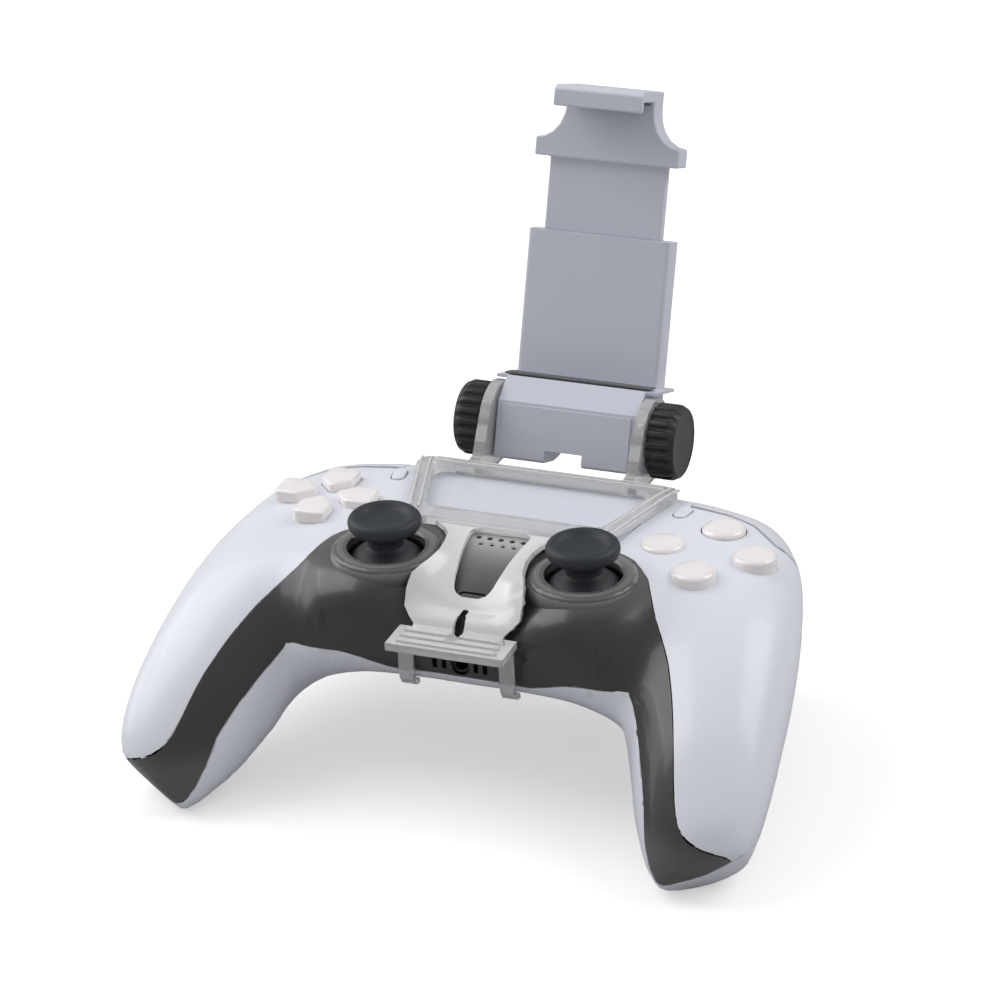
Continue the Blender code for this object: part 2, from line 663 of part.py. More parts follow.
def build_touchpad(body):
    """The touchpad plate, which rocks on its rear edge, and its recess."""
    pad = part("touchpad", HULL.copy(), FACE, FINISH["shell"])
    keep = cutter("touchpad region", plate_mesh([pad_outline(0)], -PAD_THICKNESS, FAR), FACE)
    recess = cutter("touchpad recess", plate_mesh([pad_outline(RUNNING_GAP)], -PAD_THICKNESS - PAD_PRESS_ROOM, FAR), FACE)
    boolean(pad, keep, "INTERSECT")
    put_origin(pad, (0, PAD_REAR_Y, -PAD_THICKNESS))
    boolean(body["centre_trim"], recess, "DIFFERENCE")


def build_stick(side, name, body):
    """A thumb stick: cap on a post, post in a gimbal ring, ring on pins in the dark centre."""
    centre = Vector((side * STICK_X, STICK_Y, STICK_PIVOT_Z))
    cavity = cutter(f"{name} stick cavity", lathe_mesh(sphere_profile(STICK_CAVITY_RADIUS, 7), centre, 18), FACE)
    mouth = cutter(f"{name} stick mouth",
                   rod_mesh(centre, centre + Vector((0, 0, 20 * MM)), STICK_OPENING_RADIUS, 26), FACE)
    pin_end = STICK_CAVITY_RADIUS + GIMBAL_PIN_SEAT
    across = Vector((pin_end + SEAM, 0, 0))
    pin_holes = cutter(f"{name} stick pin holes",
                       rod_mesh(centre - across, centre + across, GIMBAL_PIN_RADIUS + SEAM, 10), FACE)
    for solid in (cavity, mouth, pin_holes):
        boolean(body["centre_trim"], solid, "DIFFERENCE")
    boolean(body["back_shell"], cavity, "DIFFERENCE")

    ring = part(f"gimbal_ring_{name}", ring_mesh(centre, GIMBAL_INNER, GIMBAL_OUTER, GIMBAL_HEIGHT), FACE, FINISH["knob"])
    for direction in (-1, 1):
        pin = cutter(f"{name} ring pin {direction}",
                     rod_mesh(centre + Vector((direction * (GIMBAL_OUTER - 0.8 * MM), 0, 0)),
                              centre + Vector((direction * pin_end, 0, 0)), GIMBAL_PIN_RADIUS, 10), FACE)
        boolean(ring, pin, "UNION")
    cross = Vector((0, GIMBAL_OUTER + 1 * MM, 0))
    ring_bore = cutter(f"{name} ring bore", rod_mesh(centre - cross, centre + cross, GIMBAL_PIN_RADIUS + SEAM, 10), FACE)
    boolean(ring, ring_bore, "DIFFERENCE")
    put_origin(ring, centre)

    post_top = STICK_TOP_Z - 4.6 * MM
    post_profile = [(0, post_top - centre.z), (STICK_POST_RADIUS, post_top - centre.z), (STICK_POST_RADIUS, 3.4 * MM),
                    (STICK_HUB_RADIUS, 1.8 * MM), (STICK_HUB_RADIUS, -1.8 * MM), (2.2 * MM, -3.0 * MM), (0, -3.0 * MM)]
    post = part(f"stick_post_{name}", lathe_mesh(post_profile, centre, 12), FACE, FINISH["knob"])
    reach = Vector((0, GIMBAL_OUTER - 0.3 * MM, 0))
    post_pins = cutter(f"{name} post pins", rod_mesh(centre - reach, centre + reach, GIMBAL_PIN_RADIUS, 10), FACE)
    boolean(post, post_pins, "UNION")
    put_origin(post, centre)

    cap = part(f"stick_cap_{name}", lathe_mesh(stick_cap_profile(post_top), (centre.x, centre.y, 0), 22),
               FACE, FINISH["stick"])
    put_origin(cap, centre)


def sphere_profile(radius, steps):
    """Half a circle from the top of the axis to the bottom."""
    angles = [math.pi * step / steps for step in range(steps + 1)]
    points = [(radius * math.sin(a), radius * math.cos(a)) for a in angles]
    points[0] = (0.0, radius)
    points[-1] = (0.0, -radius)
    return points


def stick_cap_profile(post_top):
    """The dished cap, its neck, the dome under it and the bore for the post, in face heights."""
    top = STICK_TOP_Z
    outer = [(0, top - 1.3 * MM), (4.9 * MM, top - 1.2 * MM), (6.4 * MM, top - 0.2 * MM), (7.3 * MM, top),
             (8.5 * MM, top - 0.6 * MM), (STICK_CAP_RADIUS, top - 1.9 * MM), (9.0 * MM, top - 3.0 * MM),
             (7.4 * MM, top - 4.2 * MM), (4.6 * MM, top - 5.2 * MM), (4.2 * MM, top - 6.4 * MM), (4.5 * MM, top - 8.2 * MM)]
    neck_angle = math.asin(STICK_NECK_RADIUS / STICK_DOME_RADIUS)
    outer += dome_points(STICK_DOME_RADIUS, neck_angle, STICK_DOME_REACH, 3)
    inner_radius = STICK_DOME_RADIUS - STICK_DOME_WALL
    bore = STICK_POST_RADIUS + RUNNING_GAP
    inner = dome_points(inner_radius, STICK_DOME_REACH, math.asin(bore / inner_radius), 3)
    bore_top = post_top + STICK_CLICK + SEAM
    return outer + inner + [(bore, bore_top), (0, bore_top)]


def dome_points(radius, start, end, steps):
    """Points on the dome between two angles from its axis, in face heights."""
    angles = [start + (end - start) * step / steps for step in range(steps + 1)]
    return [(radius * math.sin(a), STICK_PIVOT_Z + radius * math.cos(a)) for a in angles]


def ring_mesh(centre, inner, outer, height, segments=16):
    """A flat ring round a vertical axis."""
    half = height / 2
    loops = [arc((centre[0], centre[1]), outer, 0, 360 - 360 / segments, segments - 1),
             arc((centre[0], centre[1]), inner, 0, 360 - 360 / segments, segments - 1)]
    return plate_mesh(loops, centre[2] - half, centre[2] + half)


def build_buttons(body):
    """Face buttons, direction keys, the two small buttons and the mute bar, each in its pocket."""
    floor = CLUSTER_SURFACE_Z - BUTTON_DEPTH
    top = CLUSTER_SURFACE_Z + BUTTON_RISE
    pocket_floor = floor - BUTTON_TRAVEL - RUNNING_GAP
    for index, name in enumerate(("button_east", "button_north", "button_west", "button_south")):
        angle = math.pi / 2 * index
        x = CLUSTER_X + BUTTON_SPACING * math.cos(angle)
        y = CLUSTER_Y + BUTTON_SPACING * math.sin(angle)
        profile = [(0, top), (3.2 * MM, top - 0.12 * MM), (4.7 * MM, top - 0.5 * MM), (BUTTON_RADIUS, top - 1.3 * MM),
                   (BUTTON_RADIUS, floor), (0, floor)]
        button = part(name, lathe_mesh(profile, (x, y, 0), 20), FACE, FINISH["button"])
        put_origin(button, (x, y, floor))
        pocket = cutter(f"{name} pocket", rod_mesh((x, y, pocket_floor), (x, y, FAR), BUTTON_RADIUS + RUNNING_GAP, 20), FACE)
        boolean(body["wing_right"], pocket, "DIFFERENCE")
    key_top = CLUSTER_SURFACE_Z + KEY_RISE
    middle = (KEY_INNER + KEY_OUTER) / 2
    for index, name in enumerate(("key_right", "key_up", "key_left", "key_down")):
        angle = math.pi / 2 * index
        outline = moved(key_outline(0), -CLUSTER_X, KEY_CLUSTER_Y, angle)
        room = moved(key_outline(RUNNING_GAP), -CLUSTER_X, KEY_CLUSTER_Y, angle)
        key = part(name, plate_mesh([outline], floor, key_top), FACE, FINISH["button"])
        smooth_edges(key, 0.6 * MM)
        put_origin(key, (-CLUSTER_X + middle * math.cos(angle), KEY_CLUSTER_Y + middle * math.sin(angle), floor))
        pocket = cutter(f"{name} pocket", plate_mesh([room], pocket_floor, FAR), FACE)
        boolean(body["wing_left"], pocket, "DIFFERENCE")
    for side, name, wing in ((-1, "create_button", "wing_left"), (1, "options_button", "wing_right")):
        turn = side * math.radians(-9)
        place = (side * SMALL_BUTTON_X, SMALL_BUTTON_Y)
        height = surface_height(*place)
        outline = moved(pill(SMALL_BUTTON_LENGTH, SMALL_BUTTON_WIDTH), *place, turn)
        room = moved(pill(SMALL_BUTTON_LENGTH + 2 * RUNNING_GAP, SMALL_BUTTON_WIDTH + 2 * RUNNING_GAP), *place, turn)
        small = part(name, plate_mesh([outline], height - 3 * MM, height + SMALL_BUTTON_RISE), FACE, FINISH["shell"])
        put_origin(small, (*place, height))
        pocket = cutter(f"{name} pocket", plate_mesh([room], height - 4.2 * MM, FAR), FACE)
        boolean(body[wing], pocket, "DIFFERENCE")
    height = surface_height(0, MUTE_Y)
    outline = moved(pill(MUTE_LENGTH, MUTE_WIDTH), 0, 0, math.pi / 2)
    room = moved(pill(MUTE_LENGTH + 2 * RUNNING_GAP, MUTE_WIDTH + 2 * RUNNING_GAP), 0, 0, math.pi / 2)
    mute = part("mute_button", plate_mesh([outline], -2.2 * MM, 0.25 * MM), FACE, FINISH["trim"])
    pocket = cutter("mute pocket", plate_mesh([room], -3.2 * MM, 10 * MM), FACE)
    for solid in (mute, pocket):
        solid.location = (0, MUTE_Y, height)
        solid.rotation_euler.x = MUTE_SLOPE
    boolean(body["centre_trim"], pocket, "DIFFERENCE")


def surface_height(x, y):
    """Height of the controller's top surface above or below the face plane."""
    place, _, _, _ = HULL_TREE.ray_cast(Vector((x, y, 50 * MM)), Vector((0, 0, -1)))
    return place.z


def build_front_details(body):
    """Speaker holes, the headset jack, the charging contact slots and the port at the rear."""
    centre = body["centre_trim"]
    for row, count in ((0, 5), (1, 4)):
        y = SPEAKER_FIRST_ROW_Y - row * SPEAKER_PITCH * 0.87
        for column in range(count):
            x = (column - (count - 1) / 2) * SPEAKER_PITCH
            hole = cutter(f"speaker hole {row} {column}",
                          rod_mesh((x, y, -3 * MM), (x, y, 5 * MM), SPEAKER_HOLE_RADIUS, 8), FACE)
            boolean(centre, hole, "DIFFERENCE")
    front = -45 * MM
    jack_hole = cutter("jack hole", rod_mesh((0, front, JACK_Z), (0, -20 * MM, JACK_Z), JACK_RADIUS + SEAM, 16), FACE)
    boolean(centre, jack_hole, "DIFFERENCE")
    part("headset_jack", tube_mesh((0, -29.3 * MM, JACK_Z), (0, -20.5 * MM, JACK_Z), JACK_BORE_RADIUS, JACK_RADIUS),
                FACE, FINISH["knob"])
    for side in (-1, 1):
        for index, x in enumerate(CONTACT_SLOTS_X):
            slot = cutter(f"contact slot {side} {index}",
                          box_mesh((side * x - 0.6 * MM, front, JACK_Z - 1.3 * MM),
                                   (side * x + 0.6 * MM, -28 * MM, JACK_Z + 1.3 * MM)), FACE)
            boolean(centre, slot, "DIFFERENCE")
    port_outline = moved(pill(PORT_WIDTH, PORT_HEIGHT), 0, PORT_Z, math.pi / 2)
    port_room = moved(pill(PORT_WIDTH + 2 * SEAM, PORT_HEIGHT + 2 * SEAM), 0, PORT_Z, math.pi / 2)
    port_bore = moved(pill(PORT_WIDTH - 0.8 * MM, PORT_HEIGHT - 0.8 * MM), 0, PORT_Z, math.pi / 2)
    part("usb_port", plate_mesh([port_outline, port_bore], 29.5 * MM, 36.8 * MM, "XZ"), FACE, FINISH["steel"])
    hole = cutter("port hole", plate_mesh([port_room], 29 * MM, 60 * MM, "XZ"), FACE)
    boolean(centre, hole, "DIFFERENCE")


def tube_mesh(start, end, inner, outer, segments=16):
    """A round tube along Y between two points."""
    loops = [arc((start[0], start[2]), radius, 0, 360 - 360 / segments, segments - 1) for radius in (outer, inner)]
    return plate_mesh(loops, start[1], end[1], "XZ")


def build_shoulder(side, name, body):
    """A bumper cut from the rear edge, and the trigger under it on its pin."""
    wing, back = body[f"wing_{name}"], body["back_shell"]

    def for_side(points):
        return mirrored(points) if side < 0 else points

    keep = cutter(f"{name} bumper region", plate_mesh([for_side(bumper_outline(0))], BUMPER_FLOOR_Z, FAR), FACE)
    room = cutter(f"{name} bumper room",
                  plate_mesh([for_side(bumper_outline(BUMPER_TRAVEL + SEAM))], BUMPER_FLOOR_Z - SEAM, FAR), FACE)
    bumper = part(f"bumper_{name}", HULL.copy(), FACE, FINISH["shoulder"])
    boolean(bumper, keep, "INTERSECT")
    boolean(wing, room, "DIFFERENCE")
    put_origin(bumper, (side * 50 * MM, 33 * MM, BUMPER_FLOOR_Z))

    pocket_profile = scaled([(23.6, BUMPER_FLOOR_Z / MM - 0.3), (60, BUMPER_FLOOR_Z / MM - 0.3), (60, -60), (26.5, -60), (23.6, -24)])
    low, high = TRIGGER_INNER_X - RUNNING_GAP, TRIGGER_OUTER_X + RUNNING_GAP
    if side < 0:
        low, high = -high, -low
    pocket = cutter(f"{name} trigger pocket", plate_mesh([pocket_profile], low, high, "YZ"), FACE)
    pin_y, pin_z = TRIGGER_PIVOT_Y, TRIGGER_PIVOT_Z
    pin_low, pin_high = low - TRIGGER_PIN_SEAT, high + TRIGGER_PIN_SEAT
    pin_hole = cutter(f"{name} trigger pin hole",
                      rod_mesh((pin_low - SEAM, pin_y, pin_z), (pin_high + SEAM, pin_y, pin_z), TRIGGER_PIN_RADIUS + SEAM, 12), FACE)
    for solid in (pocket, pin_hole):
        boolean(wing, solid, "DIFFERENCE")
        boolean(back, solid, "DIFFERENCE")
        boolean(body["centre_trim"], solid, "DIFFERENCE")

    trigger = part(f"trigger_{name}", trigger_mesh(side), FACE, FINISH["shoulder"])
    bore = cutter(f"{name} trigger bore",
                  rod_mesh((low - SEAM, pin_y, pin_z), (high + SEAM, pin_y, pin_z), TRIGGER_PIN_RADIUS + SEAM, 12), FACE)
    boolean(trigger, bore, "DIFFERENCE")
    put_origin(trigger, (side * TRIGGER_INNER_X, pin_y, pin_z))
    part(f"trigger_pin_{name}", rod_mesh((pin_low, pin_y, pin_z), (pin_high, pin_y, pin_z), TRIGGER_PIN_RADIUS, 12),
         FACE, FINISH["steel"])


TRIGGER_PROFILE = [(25.0, -15.2), (25.6, -11.2), (29.5, -10.1), (34.5, -10.4), (38.0, -12.6), (39.9, -18), (40.4, -25),
                   (40.2, -34), (40.7, -43), (42.3, -50), (42.4, -53.2), (40.8, -54.0), (38.6, -52.8), (36.6, -45),
                   (34.4, -35), (31.8, -27.5), (28.6, -21.5), (26.0, -17.8)]
TRIGGER_SLICES = 5
TRIGGER_SWEEP = 6.0 * MM


def trigger_mesh(side):
    """A claw-shaped trigger, swept forward at its outer end to follow the shoulder."""
    outline = scaled(TRIGGER_PROFILE)
    shape = bmesh.new()
    loops = []
    for step in range(TRIGGER_SLICES + 1):
        share = step / TRIGGER_SLICES
        x = TRIGGER_INNER_X + (TRIGGER_OUTER_X - TRIGGER_INNER_X) * share
        loop = []
        for y, z in outline:
            grip_share = max(0.0, min(1.0, (y - 29.5 * MM) / (8 * MM)))
            lift = 2.0 * MM * share ** 3 * max(0.0, -z - 30 * MM) / (24 * MM)
            loop.append(shape.verts.new((side * x, y - TRIGGER_SWEEP * share ** 2 * grip_share, z + lift)))
        loops.append(loop)
    return skinned(shape, loops, "trigger")


def both_halves(half):
    """A whole outline from its right half, rear left corner first."""
    return [(-x, y) for x, y in reversed(half)] + list(half)


def frame_bottom(y):
    """Height of the underside of the frame, which follows the crowned top of the controller."""
    for (y0, z0), (y1, z1) in zip(FRAME_SIDE, FRAME_SIDE[1:]):
        if y <= y1 * MM:
            return (z0 + (z1 - z0) * (y / MM - y0) / (y1 - y0)) * MM
    return FRAME_SIDE[-1][1] * MM


def build_bracket():
    """The clear clip: frame round the touchpad, stem between the sticks, shelf, hooks and hinge ears."""
    outer = rounded(scaled(both_halves(FRAME_OUTER)), FRAME_OUTER_CORNERS, 3)
    inner = rounded(scaled(both_halves(FRAME_INNER)), FRAME_INNER_CORNERS, 3)
    frame = plate_mesh([outer, inner], 0, FRAME_THICKNESS)
    shape = bmesh.new()
    shape.from_mesh(frame)
    for y, _ in FRAME_SIDE[1:-1]:
        bmesh.ops.bisect_plane(shape, geom=shape.verts[:] + shape.edges[:] + shape.faces[:],
                               plane_co=(0, y * MM, 0), plane_no=(0, 1, 0))
    for vert in shape.verts:
        vert.co.z += frame_bottom(vert.co.y)
    shape.to_mesh(frame)
    shape.free()
    bracket = part("clip_bracket", frame, FACE, FINISH["clear"])

    boolean(bracket, cutter("stem", stem_mesh(), FACE), "UNION")
    shelf = box_mesh((-SHELF_HALF, SHELF_FRONT_Y, SHELF_TOP_Z - SHELF_THICKNESS), (SHELF_HALF, SHELF_REAR_Y, SHELF_TOP_Z))
    boolean(bracket, cutter("shelf", shelf, FACE), "UNION")
    for index, y in enumerate(SHELF_RIBS_Y):
        rib = box_mesh((-SHELF_HALF + 2.4 * MM, y - 0.6 * MM, SHELF_TOP_Z - 1 * MM), (SHELF_HALF - 2.4 * MM, y + 0.6 * MM, SHELF_TOP_Z + 0.6 * MM))
        boolean(bracket, cutter(f"shelf rib {index}", rib, FACE), "UNION")
    for side in (-1, 1):
        low, high = sorted((side * (SHELF_HALF - 0.3 * MM), side * (SHELF_HALF - 0.3 * MM - HOOK_WIDTH)))
        boolean(bracket, cutter(f"hook {side}", plate_mesh([hook_outline()], low, high, "YZ"), FACE), "UNION")
        low, high = sorted((side * EAR_INNER_X, side * (EAR_INNER_X + EAR_THICKNESS)))
        boolean(bracket, cutter(f"ear {side}", plate_mesh([ear_outline()], low, high, "YZ"), FACE), "UNION")
    window = rounded(scaled([(-8.4, 1.1), (-4.9, -22.4), (4.9, -22.4), (8.4, 1.1)]), [1.5 * MM, 2.6 * MM, 2.6 * MM, 1.5 * MM], 3)
    slot = moved(pill(4.6 * MM, 2.8 * MM), 0, -9.2 * MM)
    bore = rod_mesh((-30 * MM, HINGE_Y, HINGE_Z), (30 * MM, HINGE_Y, HINGE_Z), BOLT_RADIUS + SEAM, 20)
    for name, mesh in (("window", plate_mesh([window], -FAR, FAR)), ("stem slot", plate_mesh([slot], -36 * MM, -24 * MM, "XZ")),
                       ("ear bores", bore)):
        boolean(bracket, cutter(name, mesh, FACE), "DIFFERENCE")


STEM_ROWS = [(3.2, 20.0, 0.4), (1.2, 17.6, 0.45), (-1.6, 14.6, 0.8), (-5.0, 12.5, 1.2), (-9.0, 11.9, 1.2), (-13.0, 11.8, 1.0),
             (-17.0, 12.6, 0.8), (-20.0, 13.8, 0.4), (-22.6, 15.0, -0.4), (-24.8, 15.4, -3.4), (-27.0, 15.0, -7.2),
             (-28.4, 13.2, -9.0), (-29.4, 11.6, -10.4), (-31.2, 11.6, -11.6)]
STEM_COLUMNS = 10


def stem_mesh():
    """A saddle sheet lying in the valley between the sticks, its edges raised on their shoulders.

    Each row is y, half width and the height of the edge.
    """
    shape = bmesh.new()
    rows = []
    for y, half_width, edge_z in STEM_ROWS:
        y, half_width, edge_z = y * MM, half_width * MM, edge_z * MM
        middle_z = max(surface_height(0, max(y, STEM_EDGE_Y)), STEM_EDGE_Z) + FRAME_LIFT
        if y < STEM_EDGE_Y:
            middle_z = min(middle_z, edge_z)
        row = []
        for column in range(STEM_COLUMNS + 1):
            share = column / STEM_COLUMNS * 2 - 1
            z = middle_z + (edge_z - middle_z) * abs(share) ** 2.6
            z = max(z, middle_z) if edge_z > middle_z else z
            row.append(shape.verts.new((share * half_width, y, z)))
        rows.append(row)
    for first, second in zip(rows, rows[1:]):
        for i in range(STEM_COLUMNS):
            shape.faces.new((first[i], first[i + 1], second[i + 1], second[i]))
    bmesh.ops.recalc_face_normals(shape, faces=shape.faces)
    sheet = bpy.data.meshes.new("stem sheet")
    shape.to_mesh(sheet)
    shape.free()
    holder = bpy.data.objects.new("stem sheet", sheet)
    CUTTERS.objects.link(holder)
    solidify = holder.modifiers.new("wall", "SOLIDIFY")
    solidify.thickness = STEM_THICKNESS
    solidify.offset = 1.0 if sheet.polygons[0].normal.z > 0 else -1.0
    made = evaluated_mesh(holder)
    bpy.data.objects.remove(holder)
    return outward(made)


def hook_outline():
    """A hook hanging from the shelf and turning in under the front edge, seen from the side."""
    inner = scaled([(-31.9, -11.5), (-31.9, -20.5), (-31.6, -22.8), (-30.9, -24.3), (-29.9, -25.0), (-29.0, -25.1)])
    outer = scaled([(-28.7, -26.5), (-30.2, -26.4), (-32.0, -25.4), (-33.3, -23.2), (-33.6, -20.8), (-33.6, -11.5)])
    return inner + outer


def ear_outline():
    """A hinge ear seen from the side: a foot on the frame's rear bar, rising back to the round end."""
    foot = scaled([(47.5, -4.4), (44.0, -4.8), (42.3, -7.0), (42.3, -13.0), (40.3, -13.0), (40.3, -3.0), (39.7, -1.5),
                   (38.3, -0.3), (36.8, 0.2), (31.5, 1.2), (31.5, 2.2), (36.5, 2.5)])
    return arc((HINGE_Y, HINGE_Z), EAR_RADIUS, 150, -82, 14) + foot


def knob_mesh(side):
    """A ribbed knob with a plain chamfered face, its open bore towards the ear."""
    start = EAR_INNER_X + EAR_THICKNESS + SEAM
    root = KNOB_RADIUS - 0.9 * MM
    stages = ((start, root, KNOB_RADIUS), (start + KNOB_LENGTH * 0.68, root, KNOB_RADIUS),
              (start + KNOB_LENGTH * 0.74, root + 0.4 * MM, KNOB_RADIUS - 0.1 * MM), (start + KNOB_LENGTH, root - 0.5 * MM, root - 0.2 * MM))
    shape = bmesh.new()
    loops = []
    for x, low, high in stages:
        loop = []
        for tooth in range(KNOB_TEETH):
            for offset, radius in ((0.0, low), (0.22, high), (0.6, high), (0.82, low)):
                angle = 2 * math.pi * (tooth + offset) / KNOB_TEETH
                loop.append(shape.verts.new((side * x, HINGE_Y + radius * math.cos(angle), HINGE_Z + radius * math.sin(angle))))
        loops.append(loop)
    return skinned(shape, loops, "knob")


def build_hinge():
    """The bolt through the ears and the two clamping knobs."""
    ear_outer = EAR_INNER_X + EAR_THICKNESS
    bolt_end = ear_outer + 4.5 * MM
    bolt = rod_mesh((-bolt_end, HINGE_Y, HINGE_Z), (bolt_end, HINGE_Y, HINGE_Z), BOLT_RADIUS, 16)
    part("hinge_bolt", bolt, FACE, FINISH["steel"])
    for side, name in ((1, "right"), (-1, "left")):
        knob = part(f"knob_{name}", knob_mesh(side), FACE, FINISH["knob"])
        bore = cutter(f"{name} knob bore",
                      rod_mesh((side * (ear_outer - 1 * MM), HINGE_Y, HINGE_Z),
                               (side * (bolt_end + SEAM), HINGE_Y, HINGE_Z), BOLT_RADIUS + SEAM, 16), FACE)
        boolean(knob, bore, "DIFFERENCE")
        put_origin(knob, (side * ear_outer, HINGE_Y, HINGE_Z))


def build_clamp():
    """The phone clamp: hinge block with lower jaw and sleeve, and the sliding upper jaw."""
    back_y = PLATE_FRONT_Y + SLEEVE_DEPTH
    shelf = JAW_SHELF_Z
    block = [(-6.1, -8.8), (1.5, -8.8), (6.0, -7.6), (9.6, -4.0), (back_y / MM, 2.0), (back_y / MM, shelf / MM),
             (-1.2, shelf / MM), (-6.1, 6.0)]
    body = part("clamp_body", plate_mesh([scaled(block)], -BLOCK_HALF, BLOCK_HALF, "YZ"), HINGE, FINISH["clamp"])
    jaw = box_mesh((-JAW_HALF, -1.2 * MM, shelf - 0.8 * MM), (JAW_HALF, back_y, shelf + 0.0001 * MM))
    sleeve = rounded([(-SLEEVE_HALF, PLATE_FRONT_Y), (SLEEVE_HALF, PLATE_FRONT_Y), (SLEEVE_HALF, back_y), (-SLEEVE_HALF, back_y)],
                     1.5 * MM, 2)
    panel = box_mesh((-BLOCK_HALF + 1.5 * MM, -6.6 * MM, -8.3 * MM), (BLOCK_HALF - 1.5 * MM, -5 * MM, 5.2 * MM))
    boolean(body, cutter("front panel", panel, HINGE), "UNION")
    boolean(body, cutter("lower jaw", jaw, HINGE), "UNION")
    boolean(body, cutter("sleeve", plate_mesh([sleeve], shelf - 1 * MM, SLEEVE_TOP_Z), HINGE), "UNION")
    slide_front = PLATE_FRONT_Y + SLIDER_WALL_GAP
    room = box_mesh((-SLIDER_HALF - RUNNING_GAP, slide_front - RUNNING_GAP, SLIDER_ROOM_Z),
                    (SLIDER_HALF + RUNNING_GAP, slide_front + SLIDER_THICKNESS + RUNNING_GAP, SLEEVE_TOP_Z + 10 * MM))
    notch = box_mesh((-5.0 * MM, -10 * MM, -12 * MM), (5.0 * MM, 9 * MM, -5.6 * MM))
    bore = rod_mesh((-30 * MM, 0, 0), (30 * MM, 0, 0), BOLT_RADIUS + SEAM, 16)
    for name, mesh in (("slider room", room), ("block notch", notch), ("block bore", bore)):
        boolean(body, cutter(name, mesh, HINGE), "DIFFERENCE")

    upper = shelf + JAW_OPENING
    flare_low = upper - UPPER_JAW_HEIGHT
    plate = box_mesh((-SLIDER_HALF, slide_front, SLIDER_FOOT_Z),
                     (SLIDER_HALF, slide_front + SLIDER_THICKNESS, flare_low + 2 * MM))
    slider = part("clamp_slider", plate, HINGE, FINISH["clamp"])
    curve = [(NECK_HALF + (FLARE_HALF - NECK_HALF) * (1 - math.sin(a)),
              flare_low + FLARE_HEIGHT + (upper - 2 * MM - flare_low - FLARE_HEIGHT) * (1 - math.cos(a)))
             for a in [math.pi / 2 * step / 5 for step in range(6)]]
    half = [(FLARE_HALF, flare_low)] + curve + [(NECK_HALF, upper + JAW_THICKNESS)]
    flare = plate_mesh([half + [(-x, z) for x, z in reversed(half)]], PLATE_FRONT_Y, back_y, "XZ")
    hook_front = PLATE_FRONT_Y - PHONE_DEPTH - 1.9 * MM
    hook = [(PLATE_FRONT_Y + 1 * MM, upper), (PLATE_FRONT_Y - PHONE_DEPTH, upper), (PLATE_FRONT_Y - PHONE_DEPTH, upper - 2.6 * MM),
            (hook_front, upper - 2.6 * MM), (hook_front, upper + JAW_THICKNESS * 0.6), (hook_front + 1.5 * MM, upper + JAW_THICKNESS),
            (PLATE_FRONT_Y + 1 * MM, upper + JAW_THICKNESS)]
    boolean(slider, cutter("flare", flare, HINGE), "UNION")
    boolean(slider, cutter("top hook", plate_mesh([hook], -NECK_HALF, NECK_HALF, "YZ"), HINGE), "UNION")

    lower_pad = box_mesh((-JAW_HALF + 2 * MM, LOWER_PAD_FRONT_Y, shelf + SEAM),
                         (JAW_HALF - 2 * MM, PLATE_FRONT_Y - LOWER_PAD_CORNER, shelf + SEAM + PAD_SHEET))
    part("lower_pad", lower_pad, HINGE, FINISH["rubber"])
    upper_pad = box_mesh((-NECK_HALF + 1 * MM, PLATE_FRONT_Y - PHONE_DEPTH + SEAM, upper - SEAM - PAD_SHEET),
                         (NECK_HALF - 1 * MM, PLATE_FRONT_Y - SEAM, upper - SEAM))
    part("upper_pad", upper_pad, HINGE, FINISH["rubber"])


HULL_TREE = BVHTree.FromPolygons([v.co for v in HULL.vertices], [p.vertices for p in HULL.polygons])
BODY = build_body()
build_touchpad(BODY)
build_buttons(BODY)
build_front_details(BODY)
for SIDE, SIDE_NAME in ((1, "right"), (-1, "left")):
    build_stick(SIDE, SIDE_NAME, BODY)
    build_shoulder(SIDE, SIDE_NAME, BODY)
build_bracket()
build_hinge()
build_clamp()
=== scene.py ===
import json
import math

import bmesh
import bpy
from mathutils import Matrix, Vector
from mathutils.bvhtree import BVHTree
from mathutils.interpolate import poly_3d_calc


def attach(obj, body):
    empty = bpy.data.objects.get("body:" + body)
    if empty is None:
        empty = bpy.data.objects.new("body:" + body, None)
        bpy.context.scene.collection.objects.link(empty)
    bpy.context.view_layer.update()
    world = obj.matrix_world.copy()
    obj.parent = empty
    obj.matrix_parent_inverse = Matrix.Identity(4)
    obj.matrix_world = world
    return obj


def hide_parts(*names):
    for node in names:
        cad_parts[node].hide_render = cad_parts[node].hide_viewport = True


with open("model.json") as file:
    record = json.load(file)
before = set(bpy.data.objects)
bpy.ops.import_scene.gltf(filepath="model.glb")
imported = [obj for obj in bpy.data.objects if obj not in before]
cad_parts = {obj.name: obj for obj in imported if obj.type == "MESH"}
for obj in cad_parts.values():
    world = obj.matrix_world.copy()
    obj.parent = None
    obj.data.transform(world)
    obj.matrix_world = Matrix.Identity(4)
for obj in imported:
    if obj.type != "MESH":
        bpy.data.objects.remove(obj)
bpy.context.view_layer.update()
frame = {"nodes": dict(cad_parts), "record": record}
print("frame loaded:", len(frame["nodes"]), "nodes")

mm = 0.001
mergeDistance = 1e-6
facePlace = Vector((0.0, -14.5, 54.0)) * mm  # where the button face's own zero lies
bodies = frame["record"]["behaviour"]["bodies"]
bodyOf = {node: body for body, nodes in bodies.items() for node in nodes}
sides = {"right": 1, "left": -1}
# edges sharper than these angles, in degrees, stay sharp in the shading
sharpFrom = {"skin": 32.0, "turned": 50.0, "moulded": 40.0, "ridge": 60.0, "softened": 30.0}


